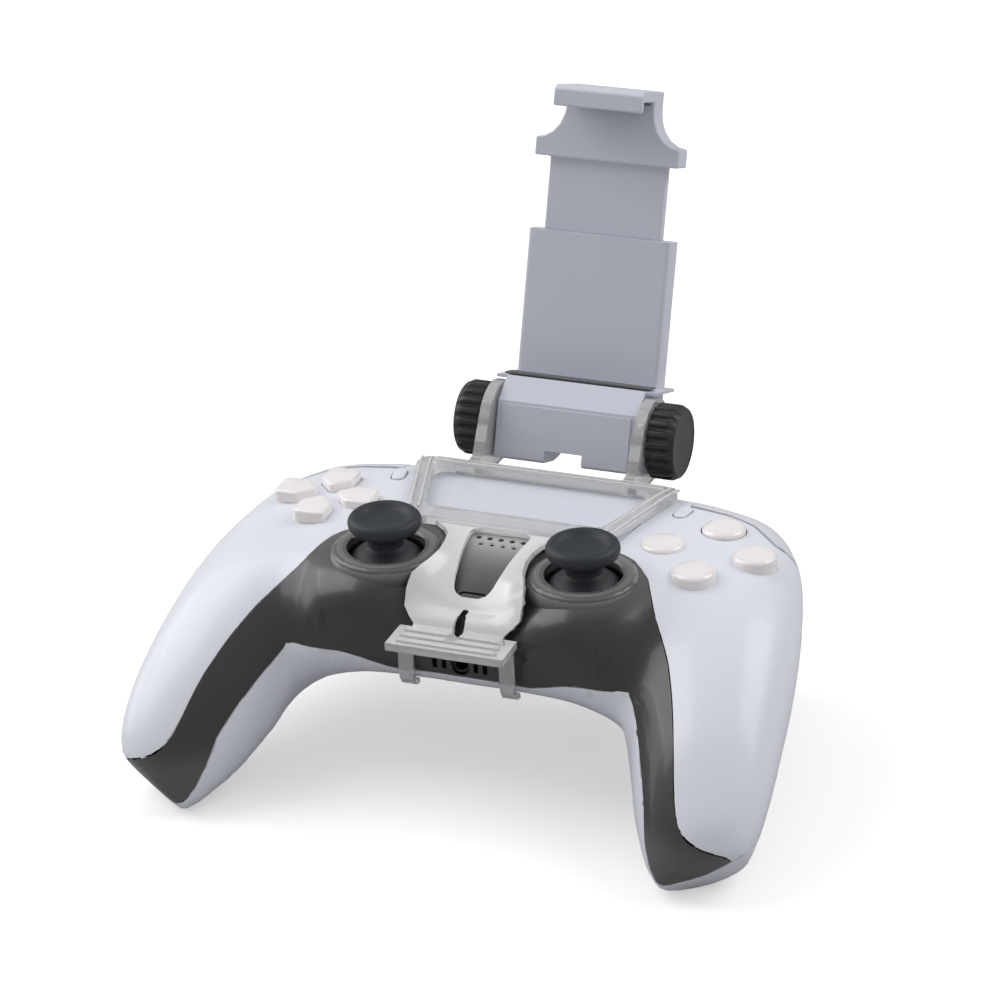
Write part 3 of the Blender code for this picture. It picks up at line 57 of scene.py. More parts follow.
class Signal:  # one socket, so that shader maths reads as plain sums
    def __init__(self, finish, socket):
        self.finish = finish
        self.socket = socket

    def __add__(self, other):
        return self.finish.maths("ADD", self, other)

    def __radd__(self, other):
        return self.finish.maths("ADD", other, self)

    def __sub__(self, other):
        return self.finish.maths("SUBTRACT", self, other)

    def __rsub__(self, other):
        return self.finish.maths("SUBTRACT", other, self)

    def __mul__(self, other):
        return self.finish.maths("MULTIPLY", self, other)

    def __rmul__(self, other):
        return self.finish.maths("MULTIPLY", other, self)


class Finish:  # one material and the nodes in it
    def __init__(self, name, constants):
        self.material = bpy.data.materials.new(name)
        self.material.use_nodes = True
        self.shader = self.material.node_tree.nodes["Principled BSDF"]
        for socket, value in constants.items():
            self.plug(self.shader.inputs[socket], value)
        if "Base Color" in constants:
            self.material.diffuse_color = (*constants["Base Color"], 1.0)

    def node(self, kind, settings=None, inputs=None, output=0):
        made = self.material.node_tree.nodes.new(kind)
        for key, value in (settings or {}).items():
            setattr(made, key, value)
        for key, value in (inputs or {}).items():
            self.plug(made.inputs[key], value)
        return Signal(self, made.outputs[output])

    def plug(self, socket, value):
        if isinstance(value, Signal):
            self.material.node_tree.links.new(value.socket, socket)
        elif isinstance(value, tuple) and socket.type == "RGBA":
            socket.default_value = (*value, 1.0)
        else:
            socket.default_value = value

    def feed(self, **sockets):
        for name, value in sockets.items():
            self.plug(self.shader.inputs[name.replace("_", " ")], value)

    def maths(self, operation, first, second):
        return self.node("ShaderNodeMath", {"operation": operation}, {0: first, 1: second})

    def place(self):  # Object coordinates
        return self.node("ShaderNodeTexCoord", output=3)

    def along(self, axis):
        return self.node("ShaderNodeSeparateXYZ", {}, {"Vector": self.place()}, output=axis)

    def fade(self, value, start, end, curve="SMOOTHSTEP"):  # 0 up to start, 1 from end on
        return self.node("ShaderNodeMapRange", {"interpolation_type": curve},
                         {"Value": value, "From Min": start, "From Max": end})

    def across(self, axis, start, end):
        return self.fade(self.along(axis), start, end)

    def noise(self, scale, detail):
        return self.node("ShaderNodeTexNoise", {},
                         {"Vector": self.place(), "Scale": scale, "Detail": detail})

    def blendColours(self, amount, first, second):
        return self.node("ShaderNodeMix", {"data_type": "RGBA"},
                         {0: amount, 6: first, 7: second}, output=2)

    def bump(self, height, strength, distance):
        normal = self.node("ShaderNodeBump", {},
                           {"Strength": strength, "Distance": distance, "Height": height})
        self.plug(self.shader.inputs["Normal"], normal)


# Settings of the finishes. Places are in metres of the whole object.
shellLook = {"pale": (0.80, 0.815, 0.885), "deep": (0.765, 0.78, 0.86), "cloudScale": 14.0,
             "roughness": 0.34, "grainScale": 2600.0, "grainStrength": 0.05, "grainDepth": 0.00006}
shoulderLook = dict(shellLook, pale=(0.74, 0.75, 0.80), deep=(0.70, 0.71, 0.765), roughness=0.30)
padLook = dict(shellLook, pale=(0.70, 0.715, 0.79), deep=(0.66, 0.675, 0.76), roughness=0.24,
               grainScale=1500.0)
# the trim's last colour is a painted highlight for the top of the trim round the sticks
trimLook = {"pale": (0.040, 0.036, 0.037), "deep": (0.028, 0.025, 0.027), "cloudScale": 20.0,
            "roughness": 0.33, "grainScale": 3200.0, "grainStrength": 0.10, "grainDepth": 0.00008,
            "paintedRimHighlight": (0.115, 0.113, 0.113)}
windowLook = {"colour": (0.46, 0.46, 0.465), "half": 0.0088, "front": -0.0365, "rear": -0.0160,
              "end": -0.0110, "holesFront": -0.0205, "slope": 0.0925, "holeBottom": 0.0547,
              "holeTop": 0.0549}
# painted light: the black grip ends are lighter near the floor, where light from the floor falls on
# them; the colour, and the heights in metres over which it fades out
tipFloorLightLook = {"colour": (0.085, 0.083, 0.084), "low": 0.011, "high": 0.019}
# painted highlight: the stick shoulders and the trim round them are grey near the top, where light
# catches them; low and high are the heights, in metres, where it fades in
ringHighlightLook = dict(trimLook, pale=(0.23, 0.228, 0.228), deep=(0.19, 0.188, 0.188), low=0.0500,
                high=0.0545)
buttonLook = {"pale": (0.97, 0.95, 0.945), "deep": (0.87, 0.80, 0.795), "cloudScale": 230.0,
              "roughness": 0.22, "grainScale": 900.0, "grainStrength": 0.02, "grainDepth": 0.00004}
clampLook = {"pale": (0.63, 0.65, 0.73), "deep": (0.58, 0.60, 0.69), "cloudScale": 24.0,
             "roughness": 0.40, "grainScale": 2400.0, "grainStrength": 0.10, "grainDepth": 0.00008}
knobLook = {"pale": (0.020, 0.020, 0.021), "deep": (0.012, 0.012, 0.013), "cloudScale": 60.0,
            "roughness": 0.46, "grainScale": 2200.0, "grainStrength": 0.15, "grainDepth": 0.0001}
stickLook = {"pale": (0.021, 0.026, 0.033), "deep": (0.014, 0.018, 0.024), "cloudScale": 90.0,
             "roughness": 0.56, "grainScale": 1500.0, "grainStrength": 0.25, "grainDepth": 0.0001}
foamLook = {"pale": (0.16, 0.16, 0.17), "deep": (0.09, 0.09, 0.10), "cloudScale": 700.0,
            "roughness": 0.85, "grainScale": 1200.0, "grainStrength": 0.5, "grainDepth": 0.00015}
steelLook = {"pale": (0.62, 0.62, 0.63), "deep": (0.48, 0.48, 0.49), "cloudScale": 300.0,
             "roughness": 0.30, "grainScale": 1800.0, "grainStrength": 0.1, "grainDepth": 0.00005}
unevenness = {"cloudDetail": 3.0, "cloud": 0.06, "grainDetail": 1.0, "grain": 0.08, "middle": 0.5,
              "coatRoughness": 0.1}
clearLook = {"tint": (0.95, 0.955, 0.96), "roughness": 0.04, "clearness": 0.93, "bend": 1.46,
             "coat": 0.3, "coatRoughness": 0.04, "flowScale": 60.0, "flowDetail": 2.0, "flow": 0.06,
             "flowStrength": 0.08, "flowDepth": 0.00008}
milkyLook = {"Base Color": (0.84, 0.84, 0.845), "Roughness": 0.26, "Transmission Weight": 0.12,
             "Coat Weight": 0.6, "Coat Roughness": 0.08}
milkyPart = {"front": -0.0460, "rear": -0.0128, "bottom": 0.0412, "fade": 0.0012, "haze": 0.28,
             "shelfFront": -0.0552, "shelfHaze": 0.54}


def windowAndPaintedLight(finish, colour):  # the window is grey, lighter towards the rear, but not inside the speaker holes; the trim round the sticks gets a painted highlight and the grip ends painted light from the floor
    window = windowLook
    fromLeft = finish.across(0, -window["half"] - mm, -window["half"])
    fromRight = 1.0 - finish.across(0, window["half"], window["half"] + mm)
    beside = fromLeft * fromRight
    place = finish.along(1)
    towardsRear = finish.fade(place, window["front"], window["rear"], "LINEAR")
    height = finish.along(2) - place * window["slope"]
    outsideHoles = finish.fade(height, window["holeBottom"], window["holeTop"])
    beforeHoles = 1.0 - finish.across(1, window["holesFront"] - mm, window["holesFront"])
    onTop = finish.maths("MAXIMUM", outsideHoles, beforeHoles)
    beforeEnd = 1.0 - finish.across(1, window["end"] - mm, window["end"])
    # painted highlight on the top of the trim round the sticks, outside the window
    paintedRimHighlight = finish.across(2, ringHighlightLook["low"], ringHighlightLook["high"]) * (1.0 - beside)
    colour = finish.blendColours(paintedRimHighlight, colour, trimLook["paintedRimHighlight"])
    inWindow = beside * towardsRear * towardsRear * onTop * beforeEnd
    colour = finish.blendColours(inWindow, colour, window["colour"])
    # painted light from the floor on the lower grip ends
    paintedFloorLightAtTips = 1.0 - finish.across(2, tipFloorLightLook["low"], tipFloorLightLook["high"])
    return finish.blendColours(paintedFloorLightAtTips, colour, tipFloorLightLook["colour"])


def paintedHighlightOnTop(finish, colour):  # painted highlight: the stick shoulders are grey at the top, where light catches them, and fade into the trim's colour below
    upper = finish.across(2, ringHighlightLook["low"], ringHighlightLook["high"])
    return finish.blendColours(upper, trimLook["pale"], colour)


def moulded(name, look, metal=0.0, coat=0.0, change=None):
    finish = Finish(name, {"Base Color": look["pale"], "Roughness": look["roughness"],
                           "Metallic": metal, "Coat Weight": coat,
                           "Coat Roughness": unevenness["coatRoughness"]})
    cloud = finish.noise(look["cloudScale"], unevenness["cloudDetail"])
    grain = finish.noise(look["grainScale"], unevenness["grainDetail"])
    colour = finish.blendColours(cloud, look["deep"], look["pale"])
    middle = unevenness["middle"]
    finish.feed(Base_Color=change(finish, colour) if change else colour,
                Roughness=(look["roughness"] + unevenness["grain"] * (grain - middle)
                           + unevenness["cloud"] * (cloud - middle)))
    finish.bump(grain, look["grainStrength"], look["grainDepth"])
    return finish.material


def clearPlastic(name, look, milky, reach):  # clear, but milky between the sticks and on the shelf
    finish = Finish(name, {"Base Color": look["tint"], "Transmission Weight": look["clearness"],
                           "IOR": look["bend"], "Coat Weight": look["coat"],
                           "Coat Roughness": look["coatRoughness"]})
    flow = finish.noise(look["flowScale"], look["flowDetail"])
    finish.feed(Roughness=look["roughness"] + look["flow"] * flow)
    finish.bump(flow, look["flowStrength"], look["flowDepth"])
    fade = reach["fade"]
    stemShare = 1.0 - reach["haze"] - reach["shelfHaze"]
    behindShelf = finish.across(1, reach["front"], reach["front"] + fade)
    behindFront = finish.across(1, reach["shelfFront"], reach["shelfFront"] + fade)
    behind = behindShelf * stemShare + behindFront * reach["shelfHaze"]
    before = 1.0 - finish.across(1, reach["rear"] - fade, reach["rear"])
    above = finish.across(2, reach["bottom"], reach["bottom"] + fade)
    clear = Signal(finish, finish.shader.outputs[0])
    hazy = finish.node("ShaderNodeBsdfPrincipled", {}, milky)
    share = reach["haze"] + behind * before * above
    mixed = finish.node("ShaderNodeMixShader", {}, {0: share, 1: clear, 2: hazy})
    output = finish.material.node_tree.nodes["Material Output"]
    finish.plug(output.inputs["Surface"], mixed)
    return finish.material


# painted highlight: the ridges are mostly milky, so that they show as bright lines on the clear frame
ridgeHighlightPart = dict(milkyPart, haze=0.85, shelfHaze=0.1)
finishes = {
    "shell": moulded("satin white shell", shellLook, coat=0.15),
    "shoulder": moulded("satin grey shoulder", shoulderLook, coat=0.2),
    "pad": moulded("smooth touch surface", padLook, coat=0.35),
    "trim": moulded("black brown trim with painted light", trimLook, coat=0.25, change=windowAndPaintedLight),
    # the stick shoulders' grey top is a painted highlight
    "ring": moulded("stick shoulder", ringHighlightLook, coat=0.3, change=paintedHighlightOnTop),
    "stick": moulded("stick rubber", stickLook),
    "button": moulded("pearl button", buttonLook, coat=0.7),
    "clamp": moulded("lavender clamp plastic", clampLook, coat=0.1),
    "knob": moulded("matte black knob", knobLook),
    "steel": moulded("plain steel", steelLook, metal=1.0),
    "rubber": moulded("foam rubber", foamLook),
    "clear": clearPlastic("clear plastic", clearLook, milkyLook, milkyPart),
    "milky": clearPlastic("milky plastic", clearLook, milkyLook, ridgeHighlightPart),
}
print("finishes made:", len(finishes))


def addPiece(name, mesh, finish, node):
    piece = bpy.data.objects.new(name, mesh)
    bpy.context.scene.collection.objects.link(piece)
    mesh.materials.clear()
    mesh.materials.append(finishes[finish])
    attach(piece, bodyOf[node])
    return piece


def standFor(piece, node):
    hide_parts(node)
    return piece


def meshFrom(shape, name, angle):
    mesh = bpy.data.meshes.new(name)
    shape.to_mesh(mesh)
    shape.free()
    mesh.shade_smooth()
    mesh.set_sharp_from_angle(angle=math.radians(angle))
    return mesh


def nodeCopy(node):
    shape = bmesh.new()
    shape.from_mesh(frame["nodes"][node].data)
    bmesh.ops.remove_doubles(shape, verts=shape.verts, dist=mergeDistance)
    return shape


# The outside of the body: ovals from the middle to the grip tip, in millimetres from facePlace.
# Each has its inner, top, outer and bottom point, and how square its four quarters are.
hull = {
    "sections": [
        ((0, -30.5, -19.5), (0, 3.5, 0.0), (0, 37.5, -13.0), (0, 4, -32.0),
         (2.0, 8.0, 3.2, 2.4)),
        ((13, -31.0, -19.3), (14, 3.3, 0.0), (15, 37.7, -13.0), (14, 4, -32.2),
         (2.3, 8.0, 3.2, 2.3)),
        ((26, -32.5, -18.6), (29, 2.7, 0.0), (32, 37.8, -13.0), (29, 3, -33.5),
         (4.6, 7.0, 3.0, 2.1)),
        ((36, -33.2, -18.0), (42, 4, -0.1), (48, 36.4, -13.0), (42, -3, -36.5),
         (3.7, 4.4, 2.8, 1.9)),
        ((41.5, -33.0, -19.0), (52, 5, -0.6), (61.5, 31.0, -14.0), (50, -8, -39.5),
         (3.0, 2.7, 2.6, 2.0)),
        ((44.0, -34.5, -22.0), (58, -1, -1.4), (69.7, 19.5, -16.0), (55, -14, -41.0),
         (2.8, 2.3, 2.5, 2.4)),
        ((46.0, -37.5, -25.0), (62.0, -10, -3.0), (75.0, 3.5, -19.0), (58, -22, -43.5),
         (2.6, 2.0, 2.4, 2.6)),
        ((48.0, -42.5, -29.0), (65.2, -20, -6.2), (78.3, -13.0, -24.5), (61, -31, -47.0),
         (2.5, 2.0, 2.3, 2.6)),
        ((50.5, -48.5, -33.5), (68, -31, -11.2), (80.0, -27.5, -30.5), (63, -40, -50.0),
         (2.4, 2.0, 2.3, 2.6)),
        ((53.5, -54.5, -38.0), (71, -42.5, -18.4), (80.7, -39.0, -37.0), (65, -48, -52.5),
         (2.4, 2.0, 2.3, 2.5)),
        ((57.0, -60.0, -42.5), (73.2, -52, -26.6), (80.5, -48.0, -42.5), (66.5, -54.5, -54.0),
         (2.3, 2.1, 2.3, 2.4)),
        ((60.5, -63.5, -46.5), (74.2, -59, -34.0), (79.0, -54.5, -46.5), (68, -59, -54.2),
         (2.2, 2.1, 2.2, 2.2)),
        ((64.5, -64.8, -48.5), (73.2, -62.3, -40.0), (76.5, -59.5, -47.5), (69.5, -61.5, -53.0),
         (2.0, 2.0, 2.0, 2.0)),
    ],
    "tip": (70.5, -64.5, -48.0), "tipFacing": (0.49, -0.65, -0.58), "tipDistance": 101.3,
    "tipRounding": 1.6, "levelTo": 62.0, "levelFade": 20.0, "ringsPerSection": 8,
    "pointsPerQuarter": 15,
}


def between(before, start, end, after, share):  # a smooth value from start to end
    return 0.5 * (2 * start + (end - before) * share
                  + (2 * before - 5 * start + 4 * end - after) * share ** 2
                  + (3 * start - before - 3 * end + after) * share ** 3)


def ovalPoints(numbers):
    inner, top, outer, bottom = (Vector(numbers[i:i + 3]) for i in (0, 3, 6, 9))
    centre = (inner + outer) / 2
    level = min(max((hull["levelTo"] - abs(centre.x)) / hull["levelFade"], 0), 1)
    corners = (inner, top, outer, bottom, inner)
    points = []
    for quarter in range(4):
        side = outer if quarter in (1, 2) else inner
        middle = Vector((centre.x, centre.y, centre.z + (side.z - centre.z) * level))
        power = 2 / numbers[12 + quarter]
        for step in range(hull["pointsPerQuarter"]):
            angle = math.pi / 2 * step / hull["pointsPerQuarter"]
            points.append(middle + (corners[quarter] - middle) * math.cos(angle) ** power
                          + (corners[quarter + 1] - middle) * math.sin(angle) ** power)
    return points


def pressedTip(point):  # the grips end in a flat face with a soft edge
    facing = Vector((math.copysign(hull["tipFacing"][0], point.x), *hull["tipFacing"][1:]))
    facing.normalize()
    soft = hull["tipRounding"]
    beyond = point.dot(facing) - hull["tipDistance"] + soft
    if beyond <= 0:
        return point
    return point - facing * (beyond - (1 - math.exp(-beyond / soft)) * soft)


skin = {"spacing": 2.6 * mm, "reach": 0.55 * mm, "touching": 0.02 * mm, "likeness": 0.8,
        "straightAbove": 0.9, "cutTolerance": 1e-7}


class Guide:  # a smooth surface that a CAD copy is laid on
    def __init__(self, shape):
        shape.normal_update()
        shape.faces.ensure_lookup_table()
        self.shape = shape
        self.tree = BVHTree.FromBMesh(shape)

    def near(self, point):
        place, _, index, distance = self.tree.find_nearest(point)
        face = self.shape.faces[index]
        weights = poly_3d_calc([v.co for v in face.verts], place)
        normal = sum((v.normal * w for v, w in zip(face.verts, weights)), Vector()).normalized()
        straight = abs((point - place).dot(normal)) > skin["straightAbove"] * distance
        above = distance < skin["touching"] or straight
        return place, normal, distance if above else math.inf


def bodyGuide():
    stations = []
    for side in (-1, 1):
        rows = []
        for *points, square in hull["sections"]:
            rows.append([v for x, y, z in points for v in (x * side, y, z)] + list(square))
        stations += rows[:0:-1] if side < 0 else rows
    rings = []
    last = len(stations) - 1
    for i in range(last):
        around = [stations[max(i - 1, 0)], stations[i], stations[i + 1], stations[min(i + 2, last)]]
        for step in range(hull["ringsPerSection"]):
            share = step / hull["ringsPerSection"]
            rings.append(ovalPoints([between(*values, share) for values in zip(*around)]))
    rings.append(ovalPoints(stations[last]))
    shape = bmesh.new()
    loops = [[shape.verts.new(pressedTip(p) * mm + facePlace) for p in ring] for ring in rings]
    for first, second in zip(loops, loops[1:]):
        for i in range(len(first)):
            j = (i + 1) % len(first)
            shape.faces.new((first[i], first[j], second[j], second[i]))
    x, y, z = hull["tip"]
    for loop, side in ((loops[0], -1), (loops[-1], 1)):
        tip = shape.verts.new(pressedTip(Vector((x * side, y, z))) * mm + facePlace)
        for i in range(len(loop)):
            shape.faces.new((loop[i], loop[(i + 1) % len(loop)], tip))
    bmesh.ops.recalc_face_normals(shape, faces=shape.faces)
    return Guide(shape)


body = bodyGuide()
print("body guide:", len(body.shape.faces), "faces")


def chop(shape, spacing):  # crosses the piece with planes, so that its faces can curve
    corners = [v.co.copy() for v in shape.verts]
    for axis in range(3):
        low = min(c[axis] for c in corners)
        high = max(c[axis] for c in corners)
        normal = Vector([1.0 if k == axis else 0.0 for k in range(3)])
        for i in range(1, int((high - low) / spacing) + 1):
            everything = shape.verts[:] + shape.edges[:] + shape.faces[:]
            bmesh.ops.bisect_plane(shape, geom=everything, dist=skin["cutTolerance"],
                                   plane_co=normal * (low + i * spacing), plane_no=normal)


# Easing of the seams: degrees that count as a corner, how far a point may move, and the rest
rims = {"corner": 55.0, "limit": 0.6 * mm, "rearLimit": 0.10 * mm, "rear": 0.0, "rounds": 60,
        "smallest": 9.0 * mm}


def separateLines(chain):
    left = set(chain)
    while left:
        line = [left.pop()]
        for v in line:
            for other in chain[v][:2]:
                if other in left:
                    left.remove(other)
                    line.append(other)
        yield line


def smoothRims(edges, limit):  # makes curves of the straight steps, and leaves true corners
    joined = {}
    for edge in edges:
        for v in edge.verts:
            joined.setdefault(v, []).append(edge.other_vert(v))
    chain = {}
    for v, ends in joined.items():
        if len(ends) != 2:
            continue
        bend = (v.co - ends[0].co).angle(ends[1].co - v.co, math.pi)
        if bend < math.radians(rims["corner"]):
            chain[v] = (ends[0], ends[1], v.co.copy())
    for line in separateLines(chain):
        reach = [max(v.co[k] for v in line) - min(v.co[k] for v in line) for k in range(3)]
        if max(reach) < rims["smallest"]:
            for v in line:
                del chain[v]
    for _ in range(rims["rounds"]):
        eased = []
        for v, (before, after, start) in chain.items():
            eased.append((v, (v.co * 2 + before.co + after.co) / 4, start))
        for v, place, start in eased:
            away = place - start
            v.co = start + away * min(1.0, limit / max(away.length, 1e-9))
    return chain


# Where the turned shoulders of the sticks lie, in millimetres from facePlace
podRing = {"centre": (25.65, -12.2), "facets": 24, "from": 12.0, "to": 15.9, "bottom": -13.5,
           "top": 0.39, "onBody": 0.05 * mm}


def roundPods(shape):  # from facets to true circles
    facet = 2 * math.pi / podRing["facets"]
    for v in shape.verts:
        x, y, z = (v.co - facePlace) / mm
        side = math.copysign(1.0, x)
        across = Vector((x - side * podRing["centre"][0], y - podRing["centre"][1]))
        if not podRing["from"] < across.length < podRing["to"]:
            continue
        if z < podRing["bottom"] or z > podRing["top"]:
            continue
        if body.tree.find_nearest(v.co)[3] < podRing["onBody"]:
            continue
        turn = math.atan2(across.y, across.x) % facet - facet / 2
        grown = across * (math.cos(turn) / math.cos(facet / 2))
        v.co.x += (grown.x - across.x) * mm
        v.co.y += (grown.y - across.y) * mm


def skinPiece(node, finish, name, guide=body, spacing=skin["spacing"]):
    shape = nodeCopy(node)
    chop(shape, spacing)
    if node == "centre_trim":
        roundPods(shape)
    shape.normal_update()
    onGuide = {}
    for v in shape.verts:
        place, normal, distance = guide.near(v.co)
        if distance < skin["reach"]:
            onGuide[v.index] = (place, normal)
    shape.verts.index_update()
    outer = set()
    for face in shape.faces:
        if all(v.index in onGuide for v in face.verts):
            likeness = min(onGuide[v.index][1].dot(face.normal) for v in face.verts)
            if likeness > skin["likeness"]:
                outer.add(face.index)
    used = {v.index for face in shape.faces if face.index in outer for v in face.verts}
    for v in shape.verts:
        if v.index in used:
            v.co = onGuide[v.index][0]
    seams = [e for e in shape.edges if sum(f.index in outer for f in e.link_faces) == 1]
    atRear = {e: any(v.co.y > rims["rear"] for v in e.verts) for e in seams}
    eased = smoothRims([e for e in seams if not atRear[e]], rims["limit"])
    eased |= smoothRims([e for e in seams if atRear[e]], rims["rearLimit"])
    for v in eased:
        place, normal, distance = guide.near(v.co)
        v.co = place
        onGuide[v.index] = (place, normal)
    mesh = meshFrom(shape, name, sharpFrom["skin"])
    corners = [Vector(c.vector) for c in mesh.corner_normals]
    for polygon in mesh.polygons:
        if polygon.index in outer:
            for loop in polygon.loop_indices:
                corners[loop] = onGuide[mesh.loops[loop].vertex_index][1]
    mesh.normals_split_custom_set(corners)
    standFor(addPiece(name, mesh, finish, node), node)
    print("skin:", name, len(mesh.polygons), "faces,", len(outer), "outside")


skinPiece("back_shell", "shell", "back_shell_finished")
skinPiece("wing_right", "shell", "wing_right_finished")
skinPiece("wing_left", "shell", "wing_left_finished")
skinPiece("centre_trim", "trim", "centre_trim_finished")
skinPiece("touchpad", "pad", "touchpad_finished")
skinPiece("bumper_right", "shoulder", "bumper_right_finished")
skinPiece("bumper_left", "shoulder", "bumper_left_finished")


def smoothLine(points, steps):  # more points along a line, on a smooth curve
    last = len(points) - 1
    result = []
    for i in range(last):
        around = [points[min(max(i + k, 0), last)] for k in (-1, 0, 1, 2)]
        for step in range(steps):
            result.append(tuple(between(*values, step / steps) for values in zip(*around)))
    return result + [tuple(points[-1])]


def turned(profile, centre, steps):  # spins (radius, height) points, in millimetres, upright
    shape = bmesh.new()
    verts = [shape.verts.new(Vector((r, 0, z)) * mm + centre) for r, z in profile]
    edges = [shape.edges.new(pair) for pair in zip(verts, verts[1:])]
    bmesh.ops.spin(shape, geom=verts + edges, cent=centre, axis=(0, 0, 1), angle=math.tau,
                   steps=steps, use_merge=True)
    bmesh.ops.remove_doubles(shape, verts=shape.verts, dist=mergeDistance)
    bmesh.ops.recalc_face_normals(shape, faces=shape.faces)
    return shape


def placed(shape):  # from millimetres round facePlace to metres
    bmesh.ops.scale(shape, verts=shape.verts, vec=(mm, mm, mm))
    bmesh.ops.translate(shape, verts=shape.verts, vec=facePlace)
    return shape


# Thumb sticks, in millimetres. The cap's points are its radius and how far below the top.
stick = {"x": 25.65, "y": -12.2, "top": 8.9, "pivot": -11.0, "domeRadius": 12.4, "domeWall": 1.1,
         "domeReach": 65.0, "domeSteps": 10, "neckRadius": 5.2, "postTop": 4.3, "bore": 2.55,
         "click": 0.4, "spare": 0.3, "capSteps": 3, "around": 72,
         "cap": [(0, 1.45), (2.5, 1.42), (4.6, 1.25), (5.6, 0.85), (6.2, 0.35), (6.9, 0.06),
                 (7.5, 0.02), (8.2, 0.25), (8.8, 0.85), (9.05, 1.7), (8.95, 2.6), (8.5, 3.4),
                 (7.4, 4.2), (6.0, 4.75), (4.8, 5.2), (4.3, 5.9), (4.2, 6.8), (4.4, 8.1)]}
# The rounded rim that each stick stands in: radius and height, from the opening outwards
shoulder = {"profile": [(9.62, -1.6), (9.66, -0.5), (10.0, 0.12), (10.7, 0.42), (11.6, 0.46),
                        (12.5, 0.28), (13.25, -0.3), (13.8, -1.3), (14.2, -2.8), (14.65, -5.0),
                        (15.3, -8.2), (15.75, -13.5)],
            "inside": [(12.5, -13.5), (10.4, -1.7)], "steps": 4, "around": 112}


def domeLine(radius, start, end):
    steps = stick["domeSteps"]
    angles = [math.radians(start + (end - start) * k / steps) for k in range(steps + 1)]
    return [(radius * math.sin(a), stick["pivot"] + radius * math.cos(a)) for a in angles]


def capProfile():
    cap = smoothLine([(r, stick["top"] - below) for r, below in stick["cap"]], stick["capSteps"])
    neck = math.degrees(math.asin(stick["neckRadius"] / stick["domeRadius"]))
    outer = domeLine(stick["domeRadius"], neck, stick["domeReach"])
    insideRadius = stick["domeRadius"] - stick["domeWall"]
    boreAngle = math.degrees(math.asin(stick["bore"] / insideRadius))
    inner = domeLine(insideRadius, stick["domeReach"], boreAngle)
    boreTop = stick["postTop"] + stick["click"] + stick["spare"]
    return cap + outer + inner + [(stick["bore"], boreTop), (0, boreTop)]


def shoulderProfile():
    rim = shoulder["profile"]
    return smoothLine(rim, shoulder["steps"]) + shoulder["inside"] + rim[:1]


for sideName, side in sides.items():
    centre = facePlace + Vector((side * stick["x"], stick["y"], 0)) * mm
    node = f"stick_cap_{sideName}"
    mesh = meshFrom(turned(capProfile(), centre, stick["around"]), node, sharpFrom["turned"])
    standFor(addPiece(f"{node}_finished", mesh, "stick", node), node)
    rim = turned(shoulderProfile(), centre, shoulder["around"])
    mesh = meshFrom(rim, "stick shoulder", sharpFrom["turned"])
    addPiece(f"stick_shoulder_{sideName}", mesh, "ring", "centre_trim")
print("sticks done")

# Round buttons and direction keys, in millimetres. The crown's points are radius and depth.
cluster = {"x": 50.4, "y": 8.2, "surface": -0.8, "spacing": 11.75, "rise": 2.1, "depth": 5.2,
           "crown": [(0, 0), (1.8, 0.03), (3.2, 0.14), (4.2, 0.33), (4.8, 0.56), (5.15, 0.86),
                     (5.35, 1.25), (5.4, 1.7)],
           "crownSteps": 3, "around": 56, "keyY": 9.1, "keyRise": 2.8, "keyInner": 2.3,
           "keyOuter": 13.0, "keyHalf": 4.3, "keyCorners": [1.2, 1.5, 1.8, 1.8, 1.5],
           "cornerSteps": 5, "keyRounding": 0.8, "roundingSteps": 4}


def roundButtons():
    floor = cluster["surface"] - cluster["depth"]
    top = cluster["surface"] + cluster["rise"]
    crown = [(radius, top - below) for radius, below in cluster["crown"]]
    profile = smoothLine(crown, cluster["crownSteps"]) + [(crown[-1][0], floor), (0, floor)]
    for i, node in enumerate(("button_east", "button_north", "button_west", "button_south")):
        angle = math.pi / 2 * i
        x = cluster["x"] + cluster["spacing"] * math.cos(angle)
        y = cluster["y"] + cluster["spacing"] * math.sin(angle)
        shape = turned(profile, facePlace + Vector((x, y, 0)) * mm, cluster["around"])
        mesh = meshFrom(shape, node, sharpFrom["moulded"])
        standFor(addPiece(f"{node}_finished", mesh, "button", node), node)


def roundedCorners(points, radii, steps):
    result = []
    for i, corner in enumerate(points):
        here = Vector(corner)
        before = Vector(points[i - 1]) - here
        after = Vector(points[(i + 1) % len(points)]) - here
        half = before.angle(after) / 2
        reach = min(radii[i] / math.tan(half), before.length * 0.49, after.length * 0.49)
        radius = reach * math.tan(half)
        inwards = (before.normalized() + after.normalized()).normalized()
        centre = here + inwards * radius / math.sin(half)
        start = here + before.normalized() * reach - centre
        end = here + after.normalized() * reach - centre
        sweep = start.angle(end)
        for step in range(steps + 1):
            share = step / steps
            arm = start * math.sin((1 - share) * sweep) + end * math.sin(share * sweep)
            result.append(centre + arm / math.sin(sweep))
    return result


def raisedShape(outline, floor, top, rounding, segments):  # pulled up, with a soft upper edge
    shape = bmesh.new()
    face = shape.faces.new([shape.verts.new((u, v, floor)) for u, v in outline])
    if face.normal.z > 0:
        face.normal_flip()
    raised = bmesh.ops.extrude_face_region(shape, geom=[face])
    upper = [item for item in raised["geom"] if isinstance(item, bmesh.types.BMVert)]
    bmesh.ops.translate(shape, vec=(0, 0, top - floor), verts=upper)
    rim = [e for e in shape.edges if all(v in upper for v in e.verts)]
    bmesh.ops.bevel(shape, geom=rim, offset=rounding, segments=segments, profile=0.5,
                    affect="EDGES", material=-1)
    bmesh.ops.recalc_face_normals(shape, faces=shape.faces)
    return shape


